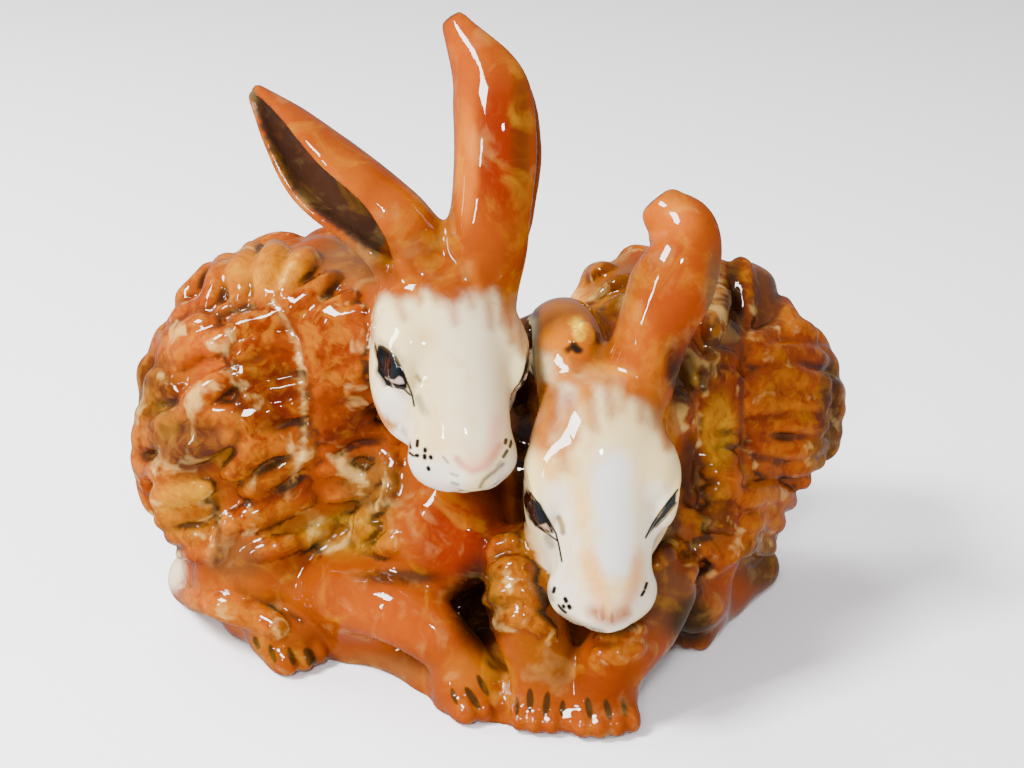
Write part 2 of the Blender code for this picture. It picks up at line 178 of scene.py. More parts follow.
# These stand on the sides that the camera doesn't see.
LEFT_COLUMNS = [
    (-0.76, -0.36, -150, 150, 15, 5.4, 0), (0.62, 1.05, -150, -16, 12, 5.2, 8),
    (0.16, 0.62, -150, -18, 12, 5.2, 8), (-0.34, 0.16, -150, -14, 11, 5.4, 4),
]
RIGHT_COLUMNS = [
    (-0.76, -0.34, -118, 150, 13, 5.6, 0), (0.66, 1.10, 30, 140, 9, 5.2, 0),
    (0.20, 0.66, 24, 140, 10, 5.2, 0), (-0.34, 0.20, 24, 140, 10, 5.4, 0),
]
# Locks on the side that the camera sees: pixels of its frame that each runs through, and radius.
LEFT_LOCKS = [
    (184, 306, 202, 284, 222, 260, 4.6), (213, 302, 224, 276, 236, 252, 5.2),
    (241, 304, 247, 276, 255, 248, 5.3), (270, 304, 270, 278, 276, 250, 5.2),
    (286, 300, 296, 276, 310, 257, 4.9), (294, 318, 312, 298, 332, 280, 4.6),
    (300, 333, 320, 319, 353, 298, 3.7), (305, 346, 330, 328, 360, 312, 3.4),
    (310, 361, 333, 343, 360, 330, 3.4), (313, 376, 335, 360, 362, 345, 3.4),
    (315, 393, 338, 378, 363, 363, 3.4), (315, 408, 340, 393, 363, 380, 3.4),
    (318, 423, 345, 408, 370, 395, 3.4), (320, 438, 345, 423, 373, 413, 3.3),
    (328, 453, 352, 433, 380, 428, 395, 440, 3.3), (335, 463, 360, 450, 383, 453, 398, 468, 2.9),
    (318, 470, 335, 467, 355, 473, 3.6), (330, 495, 345, 490, 360, 485, 3.8),
    (360, 495, 373, 480, 388, 473, 392, 490, 380, 507, 3.4), (345, 515, 365, 517, 385, 508, 3.2),
    (220, 313, 240, 303, 270, 301, 3), (228, 338, 255, 323, 290, 318, 4.4),
    (235, 360, 260, 345, 295, 341, 4), (238, 380, 263, 370, 300, 361, 4.2),
    (240, 400, 268, 390, 303, 383, 3.9), (240, 422, 270, 412, 305, 405, 4.2),
    (240, 445, 270, 435, 305, 428, 3.5), (225, 475, 260, 450, 305, 441, 4),
    (245, 490, 275, 473, 305, 453, 4.4), (255, 498, 280, 495, 305, 481, 3.4),
    (243, 520, 270, 510, 305, 496, 4.8), (250, 555, 275, 548, 295, 543, 3.6),
    (170, 328, 185, 315, 205, 303, 3.6), (158, 352, 180, 334, 215, 326, 4.2),
    (182, 362, 203, 346, 228, 340, 4.8), (143, 374, 163, 358, 184, 352, 4),
    (134, 396, 155, 382, 178, 377, 4), (136, 412, 160, 396, 184, 393, 3.4),
    (186, 404, 203, 393, 228, 381, 4.6), (152, 434, 178, 417, 204, 408, 4.4),
    (196, 428, 215, 418, 236, 410, 4), (134, 446, 155, 441, 184, 436, 4.2),
    (166, 462, 193, 449, 228, 434, 5.2), (140, 470, 163, 468, 190, 471, 4.2),
    (152, 496, 178, 493, 208, 486, 4), (158, 518, 183, 513, 208, 508, 3.7),
    (160, 538, 183, 535, 206, 533, 3.5), (170, 558, 188, 553, 206, 550, 3.2),
    (310, 540, 335, 530, 360, 518, 3.4), (325, 553, 353, 543, 380, 526, 3.4),
    (345, 563, 370, 553, 396, 540, 3.3), (300, 548, 310, 533, 328, 520, 3.2),
    (215, 560, 224, 540, 230, 520, 3.2),
]
RIGHT_LOCKS = [
    (719, 260, 716, 300, 709, 340, 4.6), (741, 257, 744, 290, 744, 325, 4),
    (760, 262, 776, 280, 783, 306, 781, 326, 4.8), (752, 342, 784, 333, 815, 340, 4.4),
    (748, 362, 786, 354, 824, 362, 4.6), (746, 384, 786, 378, 832, 386, 4.6),
    (746, 404, 788, 400, 834, 404, 4.3), (748, 425, 788, 422, 832, 424, 4.4),
    (748, 446, 786, 446, 822, 446, 4.4), (752, 466, 780, 468, 806, 464, 4),
    (812, 462, 826, 452, 832, 438, 4.4), (797, 482, 812, 478, 824, 468, 3.4),
    (742, 500, 765, 492, 786, 500, 4.4), (744, 524, 764, 518, 782, 526, 4),
    (722, 560, 742, 545, 768, 548, 3.6), (701, 380, 719, 377, 736, 380, 3.1),
    (701, 395, 719, 392, 736, 395, 3.1), (701, 410, 719, 407, 736, 410, 3.1),
    (701, 426, 719, 423, 736, 426, 3.1), (701, 442, 719, 440, 736, 442, 3.2),
    (701, 458, 719, 456, 736, 458, 3.2), (701, 475, 719, 473, 736, 475, 3.1),
    (703, 492, 720, 490, 735, 492, 3), (704, 510, 720, 507, 735, 511, 2.9),
    (706, 528, 720, 525, 733, 529, 2.9), (700, 362, 716, 356, 734, 360, 3.1),
    (681, 338, 691, 350, 701, 370, 3.4), (676, 395, 681, 415, 689, 435, 3),
    (684, 450, 686, 475, 690, 500, 3), (694, 552, 704, 545, 714, 560, 3.4),
    (679, 590, 699, 580, 716, 570, 3), (654, 610, 674, 605, 694, 592, 3.1),
    (576, 300, 590, 282, 612, 268, 3.4), (590, 308, 606, 290, 630, 280, 3.2),
    (608, 318, 618, 304, 634, 300, 2.8),
]
# Wool on the forelegs and a curl on the ear, laid on after the limbs.
LATE_LOCKS = [
    (186, 594, 214, 602, 246, 612, 276, 628, 5.2), (492, 560, 500, 546, 516, 542, 3.2),
    (490, 578, 512, 568, 530, 573, 3.6), (490, 601, 514, 591, 539, 601, 3.9),
    (497, 626, 522, 617, 549, 634, 3.6), (600, 640, 622, 638, 640, 630, 3),
    (595, 656, 618, 655, 640, 648, 3), (657, 568, 672, 548, 690, 560, 688, 580, 3),
    (573, 340, 585, 328, 592, 340, 2.2),
]
DEPTH = 0.19                # light that a dark glaze throws back, as a share of its own colour
PALE_DEPTH = 0.66           # the same for a pale glaze
chance = np.random.RandomState(7)


def unit(v):
    v = np.asarray(v, float)
    return v / np.linalg.norm(v)


def run_through(points, count):
    """A smooth run of points through the given rows (Catmull-Rom)."""
    p = np.asarray(points, float)
    p = np.vstack([2 * p[0] - p[1], p, 2 * p[-1] - p[-2]])
    last = len(p) - 3
    out = []
    for u in np.linspace(0, last, count):
        i = min(int(u), last - 1)
        t = u - i
        a, b, c, d = p[i:i + 4]
        bend = (2 * a - 5 * b + 4 * c - d) * t * t + (3 * b - a - 3 * c + d) * t ** 3
        out.append(0.5 * (2 * b + (c - a) * t + bend))
    return np.array(out)


def pairs(row):
    return np.reshape(row, (-1, 2)).astype(float)


def smooth_min(a, b, k):
    h = np.maximum(k - np.abs(a - b), 0) / k
    return np.minimum(a, b) - h * h * k * 0.25


class Field:
    """Distances to the clay on a grid, negative inside, with a tag for the nearest shape."""

    def __init__(self, low, high, cell):
        self.low = np.array(low, float)
        self.cell = cell
        self.count = np.ceil((np.array(high, float) - self.low) / cell).astype(int) + 1
        self.value = np.full(self.count, 60.0, np.float32)
        self.tag = np.full(self.count, -1, np.int16)
        self.axes = [(self.low[i] + cell * np.arange(self.count[i])).astype(np.float32)
                     for i in range(3)]

    def part(self, low, high):
        a = np.clip(np.floor((np.asarray(low) - self.low) / self.cell).astype(int), 0, self.count)
        b = np.clip(np.ceil((np.asarray(high) - self.low) / self.cell).astype(int) + 1, 0, self.count)
        cut = tuple(slice(a[i], b[i]) for i in range(3))
        return cut, (self.axes[0][cut[0]][:, None, None], self.axes[1][cut[1]][None, :, None],
                     self.axes[2][cut[2]][None, None, :])

    def join(self, shape, k, tag, margin=None):
        low, high, distance = shape
        reach = k + 4.0 if margin is None else margin
        cut, grid = self.part(low - reach, high + reach)
        d = distance(*grid).astype(np.float32)
        old = self.value[cut]
        self.tag[cut] = np.where(d < old, tag, self.tag[cut])
        self.value[cut] = smooth_min(old, d, k)

    def carve(self, shape, k):
        low, high, distance = shape
        cut, grid = self.part(low - k - 3, high + k + 3)
        self.value[cut] = -smooth_min(-self.value[cut], distance(*grid).astype(np.float32), k)

    def at(self, points):
        """Distance at any points, by blending the eight nearest cells."""
        q = (np.asarray(points) - self.low) / self.cell
        q = np.clip(q, 0, self.count - 1.001)
        i = q.astype(int)
        f = q - i
        total = np.zeros(len(q))
        for corner in itertools.product((0, 1), repeat=3):
            share = np.prod([f[:, k] if corner[k] else 1 - f[:, k] for k in range(3)], axis=0)
            total += share * self.value[i[:, 0] + corner[0], i[:, 1] + corner[1], i[:, 2] + corner[2]]
        return total

    def slope(self, points, reach=0.7):
        g = np.stack([self.at(points + reach * np.eye(3)[k]) - self.at(points - reach * np.eye(3)[k])
                      for k in range(3)], axis=1)
        return g / np.maximum(np.linalg.norm(g, axis=1, keepdims=True), 1e-6)

    def tags_at(self, points):
        q = np.clip(np.round((points - self.low) / self.cell).astype(int), 0, self.count - 1)
        return self.tag[q[:, 0], q[:, 1], q[:, 2]]


def ball(centre, radii, turn=np.eye(3)):
    c = np.asarray(centre, float)
    r = np.asarray(radii, float)

    def distance(x, y, z):
        x, y, z = x - c[0], y - c[1], z - c[2]
        q = [turn[0, i] * x + turn[1, i] * y + turn[2, i] * z for i in range(3)]
        near = np.sqrt(sum((q[i] / r[i]) ** 2 for i in range(3)))
        steep = np.sqrt(sum((q[i] / r[i] ** 2) ** 2 for i in range(3)))
        return near * (near - 1) / np.maximum(steep, 1e-6)
    reach = np.sqrt(((turn * r) ** 2).sum(1))
    return c - reach, c + reach, distance


def strand(rows, count=None):
    """A round strand through rows of x, y, z and radius."""
    s = run_through(rows, count or 5 * len(rows)) if len(rows) > 2 else np.array(rows, float)

    def distance(x, y, z):
        d = None
        for a, b in zip(s[:-1], s[1:]):
            ab = b[:3] - a[:3]
            t = ((x - a[0]) * ab[0] + (y - a[1]) * ab[1] + (z - a[2]) * ab[2]) / (ab @ ab)
            t = np.clip(t, 0, 1)
            one = np.sqrt((x - a[0] - t * ab[0]) ** 2 + (y - a[1] - t * ab[1]) ** 2
                          + (z - a[2] - t * ab[2]) ** 2) - (a[3] + (b[3] - a[3]) * t)
            d = one if d is None else np.minimum(d, one)
        return d
    return (s[:, :3] - s[:, 3:]).min(0), (s[:, :3] + s[:, 3:]).max(0), distance


def head_axes(forward, up):
    f = unit(forward)
    u = unit(np.asarray(up) - f * (f @ np.asarray(up)))
    return np.array([f, np.cross(f, u), u])


def skull(centre, axes, size):
    s = run_through(np.array(SKULL) * size, 40)
    c = np.asarray(centre, float)

    def distance(x, y, z):
        x, y, z = x - c[0], y - c[1], z - c[2]
        f, a, u = [axes[i, 0] * x + axes[i, 1] * y + axes[i, 2] * z for i in range(3)]
        wide, high, rise = [np.interp(f, s[:, 0], s[:, k]) for k in (1, 2, 3)]
        e = (np.sqrt((a / wide) ** 2 + ((u - rise) / high) ** 2) - 1) * np.minimum(wide, high)
        end = np.maximum(s[0, 0] - f, f - s[-1, 0])
        return 0.9 * np.where(end > 0, np.sqrt(np.maximum(e, 0) ** 2 + end ** 2), e)
    return c - 50 * size, c + 50 * size, distance


def ear_run(rows, count=60):
    """Spine, roll radius, half wall, half gap and gap direction at stations along an ear."""
    s = run_through([list(row[:6]) + list(unit(row[6:9])) for row in rows], count)
    s[:, 3] = np.maximum(s[:, 3], 0.3)
    s[:, 4] = np.maximum(s[:, 4], 0.6)
    along = np.gradient(s[:, :3], axis=0)
    along /= np.linalg.norm(along, axis=1, keepdims=True)
    gap = s[:, 6:9] - along * (s[:, 6:9] * along).sum(1, keepdims=True)
    gap /= np.linalg.norm(gap, axis=1, keepdims=True)
    return s, along, gap


def rolled_ear(rows, count=60):
    s, along, gap = ear_run(rows, count)
    side = np.cross(along, gap)
    spine = s[:, :3]
    widest = (s[:, 3] + s[:, 4]).max()
    step = np.linalg.norm(np.diff(spine, axis=0), axis=1).mean()

    def distance(x, y, z):
        shape = np.broadcast(x, y, z).shape
        x, y, z = [np.broadcast_to(q, shape) for q in (x, y, z)]
        best = np.full(shape, 1e9, np.float32)
        out = np.full(shape, 40, np.float32)
        for i in range(count):
            dx, dy, dz = x - spine[i, 0], y - spine[i, 1], z - spine[i, 2]
            a, p, q = [dx * v[i, 0] + dy * v[i, 1] + dz * v[i, 2] for v in (along, gap, side)]
            g = np.clip(a, -step, step) / step
            after, before = min(i + 1, count - 1), max(i - 1, 0)
            r = s[i, 3] + np.where(g > 0, (s[after, 3] - s[i, 3]) * g, (s[i, 3] - s[before, 3]) * g)
            half = math.radians(s[i, 5])
            rho = np.sqrt(p * p + q * q) + 1e-6
            rim = np.sqrt((p - r * math.cos(half)) ** 2 + (np.abs(q) - r * math.sin(half)) ** 2)
            d = np.where(p > rho * math.cos(half), rim, np.abs(rho - r))
            over = np.maximum(-a, 0) if i == 0 else np.maximum(a, 0) if i == count - 1 else 0
            d = np.sqrt(d ** 2 + over ** 2) - s[i, 4]
            key = np.abs(a)
            if i in (0, count - 1):
                key = np.where((a < 0) if i == 0 else (a > 0), 0, key)
            take = (key < best) & (rho < widest + 8)
            best = np.where(take, key, best)
            out = np.where(take, d, out)
        return out
    return spine.min(0) - widest, spine.max(0) + widest, distance


class Trunk:
    """A fur-bearing trunk: an axis from rump to shoulder, with rays cast out from it."""

    def __init__(self, field, axis):
        self.field = field
        self.skin = field.value.copy()
        self.start, self.stop = [np.asarray(p, float) for p in axis]
        self.forward = unit(self.stop - self.start)
        self.top = unit(np.array([0, 0, 1.0]) - self.forward * self.forward[2])
        self.side = np.cross(self.forward, self.top)

    def point(self, along, angle):
        start = self.start + min(max(along, 0), 1) * (self.stop - self.start)
        past = (min(along, 0) + max(along - 1, 0)) * math.pi / 2
        a = math.radians(angle)
        out = math.cos(a) * self.top + math.sin(a) * self.side
        way = unit(math.cos(past) * out + math.sin(past) * self.forward)
        places = start + way * np.arange(5, 110, 0.5)[:, None]
        kept, self.field.value = self.field.value, self.skin
        outside = self.field.at(places) > 0
        self.field.value = kept
        return places[np.argmax(outside)] - way * 0.25, way


def seen(points):
    """Where the camera sees the points, in pixels of its frame."""
    v = np.asarray(points) - EYE
    depth = v @ AHEAD
    return np.stack([WIDE / 2 + FOCUS * (v @ RIGHTWARD) / depth,
                     HIGH / 2 - FOCUS * (v @ UPWARD) / depth], axis=-1)


def cast(field, x, y):
    """The first point of the skin behind a pixel."""
    way = unit(AHEAD + RIGHTWARD * (x - WIDE / 2) / FOCUS + UPWARD * (HIGH / 2 - y) / FOCUS)
    places = EYE + way * np.arange(500, 860, 0.5)[:, None]
    inside = field.at(places) < 0
    return places[np.argmax(inside)] if inside.any() else None


def add_lock(field, trunk, path, radius, tag, proud=0.45, k=1.8):
    """One fat lock that lies on the trunk and thins out towards both ends."""
    places = run_through(path, 7)
    rows = []
    for i, (along, angle) in enumerate(places):
        thick = radius * np.interp(i / 6, [0, 0.2, 0.5, 0.8, 1], [0.6, 0.95, 1.05, 0.95, 0.5])
        spot, way = trunk.point(along, angle)
        rows.append(np.append(spot + way * thick * (2 * proud - 1), thick))
    field.join(strand(rows, 12), k, tag)


def add_traced(field, skin, locks, tag, proud=0.54, k=1.2):
    """Fat locks where the camera sees them, laid on the skin behind the pixels."""
    for number, (*path, radius) in enumerate(locks):
        rows = []
        for i, (x, y) in enumerate(run_through(pairs(path), 7)):
            thick = radius * chance.uniform(0.97, 1.09)
            thick *= np.interp(i / 6, [0, 0.15, 0.5, 0.85, 1], [0.7, 1.0, 1.08, 1.0, 0.8])
            spot = cast(skin, x, y)
            if spot is not None:
                out = skin.slope(spot[None])[0]
                rows.append(np.append(spot + out * thick * (2 * proud - 1), thick))
        if len(rows) > 1:
            field.join(strand(rows, 14), k, tag + (number * 3) % 8)


def add_fur(field, trunk, columns, tag):
    """Columns of locks side by side, for the sides that the camera doesn't see."""
    number = 0
    for low, high, first, last, count, radius, slant in columns:
        for i in range(count):
            angle = first + (last - first) * (i + 0.5) / count + chance.uniform(-1.2, 1.2)
            a = low + chance.uniform(-0.03, 0.03)
            b = high + chance.uniform(-0.03, 0.03)
            path = [(a, angle - slant / 2), ((a + b) / 2, angle - 1.5), (b, angle + slant / 2)]
            add_lock(field, trunk, path, radius * chance.uniform(0.92, 1.1), tag + number % 8)
            number += 3


def add_head(field, centre, forward, up, size=0.98):
    axes = head_axes(forward, up)
    c = np.asarray(centre, float)

    def spot(f, a, u):
        return c + size * (np.array([f, a, u]) @ axes)

    def mass(hand, f, a, u, *radii):
        return ball(spot(f, a * hand, u), np.array(radii) * size, axes.T)

    def ridge(hand, points, r):
        return strand([np.append(spot(f, a * hand, u), r * size) for f, a, u in points])

    field.join(skull(c, axes, size), 2.5, HEAD)
    for *shape, k, both in SWELLINGS:
        for hand in ((-1, 1) if both else (1,)):
            field.join(mass(hand, *shape), k, HEAD)
    for hand in (-1, 1):
        for *shape, k in HOLLOWS:
            field.carve(mass(hand, *shape), k)
        field.join(mass(hand, *EYEBALL[:6]), EYEBALL[6], EYEBALLS)
        for points, r, k in LIDS:
            field.join(ridge(hand, points, r), k, HEAD)
        for points, r, k in GROOVES:
            field.carve(ridge(hand, points, r), k)


def add_paw(field, x, y, z, heading, size):
    a = math.radians(heading)
    ahead = np.array([math.cos(a), math.sin(a), 0])
    side = np.array([-math.sin(a), math.cos(a), 0])
    turn = np.array([ahead, side, [0, 0, 1]]).T
    heel = np.array([x, y, z + 1]) - 3 * size * ahead
    field.join(ball(heel, np.array([11, 11.5, 8.5]) * size, turn), 5, PAW)
    for across in (-8.2, -2.8, 2.8, 8.2):
        toe = np.array([x, y, 0]) + size * (ahead * (6.5 - abs(across) * 0.28) + side * across)
        toe[2] = 4.6 * size
        field.join(ball(toe, np.array([7.5, 3.5, 4.8]) * size, turn), 1.6, TOE)


def sculpted():
    field = Field((-135, -84, -6), (132, 116, 232), CELL)
    for rows, neck, tag in ((LEFT_MASSES, LIMBS[0], 1), (RIGHT_MASSES, LIMBS[1], 2)):
        for x, y, z, a, b, c, k in rows:
            field.join(ball((x, y, z), (a, b, c)), k, tag)
        field.join(strand(neck), 10, tag)
    left, right = Trunk(field, LEFT_AXIS), Trunk(field, RIGHT_AXIS)
    skin = copy.copy(field)
    skin.value = field.value.copy()
    add_fur(field, left, LEFT_COLUMNS, LEFT_FUR)
    add_fur(field, right, RIGHT_COLUMNS, RIGHT_FUR)
    add_traced(field, skin, LEFT_LOCKS, LEFT_FUR)
    add_traced(field, skin, RIGHT_LOCKS, RIGHT_FUR)
    roughen(field)
    for head in HEADS:
        add_head(field, *head)
    for rows in EARS:
        field.join(rolled_ear(rows), 6, EAR, margin=4)
    field.join(ball(*EAR_TIP), 4, EAR)
    for rows in LIMBS[2:]:
        field.join(strand(rows), 6, LEG)
    field.join(ball(*HIND_FOOT), 4, FOOT)
    for paw in PAWS:
        add_paw(field, *paw)
    add_traced(field, copy.copy(field), LATE_LOCKS, LATE_FUR)
    soften(field)
    field.value = np.maximum(field.value, -field.axes[2][None, None, :])
    return field, skin


def roughen(field):
    """Slow waves that make the locks uneven, as if pressed by hand."""
    x, y, z = field.axes[0][:, None, None], field.axes[1][None, :, None], field.axes[2][None, None, :]
    for _ in range(6):
        way = unit(chance.normal(size=3)) * math.tau / chance.uniform(13, 26)
        start = chance.uniform(0, math.tau)
        field.value += 0.32 * np.sin(x * way[0] + y * way[1] + z * way[2] + start).astype(np.float32)


def soften(field):
    """Blurs the distances a little, as a thick glaze fills creases."""
    for _ in range(2):
        for axis in range(3):
            v = np.moveaxis(field.value, axis, 0)
            v[1:-1] = 0.25 * v[:-2] + 0.5 * v[1:-1] + 0.25 * v[2:]


def skinned(field):
    """One vertex in each cell that the skin crosses, and one quad for each crossed grid edge."""
    v = field.value
    inside = v < 0
    n = np.array(v.shape)
    corners = np.zeros(n - 1, np.int8)
    for i, j, k in itertools.product((0, 1), repeat=3):
        corners += inside[i:n[0] - 1 + i, j:n[1] - 1 + j, k:n[2] - 1 + k]
    live = (corners > 0) & (corners < 8)
    cells = np.argwhere(live)
    number = np.full(n - 1, -1, np.int32)
    number[live] = np.arange(len(cells))
    total = np.zeros((len(cells), 3))
    count = np.zeros(len(cells))
    for axis in range(3):
        for a, b in itertools.product((0, 1), repeat=2):
            near = np.insert([a, b], axis, 0)
            p = cells + near
            q = p + np.eye(3, dtype=int)[axis]
            f0 = v[p[:, 0], p[:, 1], p[:, 2]]
            f1 = v[q[:, 0], q[:, 1], q[:, 2]]
            cross = (f0 < 0) != (f1 < 0)
            t = f0[cross] / (f0[cross] - f1[cross])
            total[cross] += p[cross] + t[:, None] * np.eye(3)[axis]
            count += cross
    points = field.low + field.cell * total / count[:, None]
    quads = []
    for axis in range(3):
        u, w = (axis + 1) % 3, (axis + 2) % 3
        s = np.moveaxis(inside, axis, 0)
        edge = np.argwhere(np.moveaxis(s[:-1] != s[1:], 0, axis))
        edge = edge[(edge[:, u] > 0) & (edge[:, w] > 0)]
        eu, ew = np.eye(3, dtype=int)[u], np.eye(3, dtype=int)[w]
        four = np.stack([number[tuple((edge - o).T)] for o in (0 * eu, eu, eu + ew, ew)], axis=1)
        out = inside[tuple(edge.T)]
        quads.append(np.where(out[:, None], four, four[:, ::-1]))
    return points, np.vstack(quads)


def thinned(points, quads):
    """A Blender mesh of the skin, its largest piece only, thinned to the triangle budget."""
    mesh = bpy.data.meshes.new("skin")
    mesh.vertices.add(len(points))
    mesh.vertices.foreach_set("co", points.astype(np.float32).ravel())
    mesh.loops.add(4 * len(quads))
    mesh.loops.foreach_set("vertex_index", quads.astype(np.int32).ravel())
    mesh.polygons.add(len(quads))
    mesh.polygons.foreach_set("loop_start", np.arange(0, 4 * len(quads), 4, dtype=np.int32))
    mesh.update(calc_edges=True)
    holder = bpy.data.objects.new("skin", mesh)
    bpy.context.scene.collection.objects.link(holder)
    holder.modifiers.new("halve", "TRIANGULATE")
    thin = holder.modifiers.new("thin", "DECIMATE")
    thin.ratio = min(1.0, MOST_TRIANGLES / (2 * len(quads)))
    graph = bpy.context.evaluated_depsgraph_get()
    result = bpy.data.meshes.new_from_object(holder.evaluated_get(graph))
    bpy.data.objects.remove(holder, do_unlink=True)
    bpy.data.meshes.remove(mesh)
    return result


def keep_outer_skin(mesh):
    """Drops the skins of bubbles that the joined shapes shut in."""
    left = set(mesh.verts)
    pieces = []
    while left:
        front = [left.pop()]
        piece = list(front)
        while front:
            near = {edge.other_vert(v) for v in front for edge in v.link_edges} & left
            left -= near
            front = list(near)
            piece += front
        pieces.append(piece)
    pieces.sort(key=len)
    for piece in pieces[:-1]:
        bmesh.ops.delete(mesh, geom=piece, context="VERTS")


def refined(mesh, field, zones, longest):
    """Splits long edges near the painted features and lays the new points on the skin."""
    centres = np.array([z[0] for z in zones])
    reaches = np.array([z[1] for z in zones])
    for _ in range(4):
        long = []
        for edge in mesh.edges:
            a, b = edge.verts[0].co, edge.verts[1].co
            if (a - b).length > longest:
                middle = np.array((a + b) / 2)
                if (np.linalg.norm(centres - middle, axis=1) < reaches).any():
                    long.append(edge)
        if not long:
            break
        split = bmesh.ops.subdivide_edges(mesh, edges=long, cuts=1)
        bmesh.ops.triangulate(mesh, faces=[f for f in mesh.faces if len(f.verts) > 3])
        fresh = [v for v in split["geom_inner"] if isinstance(v, bmesh.types.BMVert)]
        if fresh:
            p = np.array([v.co[:] for v in fresh])
            p -= field.slope(p) * field.at(p)[:, None]
            for v, place in zip(fresh, p):
                v.co = place


def step_up(low, high, x):
    t = np.clip((x - low) / (high - low), 0, 1)
    return t * t * (3 - 2 * t)


def from_line(p, line):
    """Distance in pixels from points to a line of points."""
    best = np.full(len(p), 1e9)
    for a, b in zip(line[:-1], line[1:]):
        t = np.clip((p - a) @ (b - a) / ((b - a) @ (b - a)), 0, 1)
        best = np.minimum(best, np.linalg.norm(p - a - t[:, None] * (b - a), axis=1))
    return best


def from_outline(p, line):
    """Signed distance in pixels to a closed outline, negative inside."""
    d = from_line(p, np.vstack([line, line[:1]]))
    inside = np.zeros(len(p), bool)
    for a, b in zip(line, np.roll(line, -1, axis=0)):
        spans = (a[1] > p[:, 1]) != (b[1] > p[:, 1])
        with np.errstate(divide="ignore", invalid="ignore"):
            cut = (b[0] - a[0]) * (p[:, 1] - a[1]) / (b[1] - a[1]) + a[0]
        inside ^= spans & (p[:, 0] < cut)
    return np.where(inside, -d, d)


def linear(*rgb):
    """The light that a glaze throws back, from its colour in 0 to 255 steps."""
    c = np.array(rgb) / 255
    c = np.where(c < 0.04045, c / 12.92, ((c + 0.055) / 1.055) ** 2.4)
    grey = c @ [0.3, 0.6, 0.1]
    light = np.clip((grey - 0.2) / 0.4, 0, 1) ** 1.5
    c = np.clip(grey + (1.4 + 0.7 * light) * (c - grey), 0.001, 1)
    return c * (DEPTH + (PALE_DEPTH - DEPTH) * light) * [1, 1.1 - 0.1 * light, 1]


# Glaze colours, in 0 to 255 steps.
ORANGE = (203, 112, 42)
OCHRE = (214, 150, 74)
CREAM = (226, 206, 172)
# dark brown of glaze pooling in creases, also used for painted shade there
POOLED_GLAZE_AND_SHADE = (70, 54, 44)
PINKISH = (176, 118, 92)
INK = (24, 24, 25)
CLAW = (92, 66, 44)
PINK = (222, 158, 148)
# blue-grey of the iris, with a painted sheen on the eye
IRIS_SHEEN = (44, 47, 53)
BROWN = (112, 88, 60)
STREAK = (206, 118, 56)
FACE = (226, 214, 192)

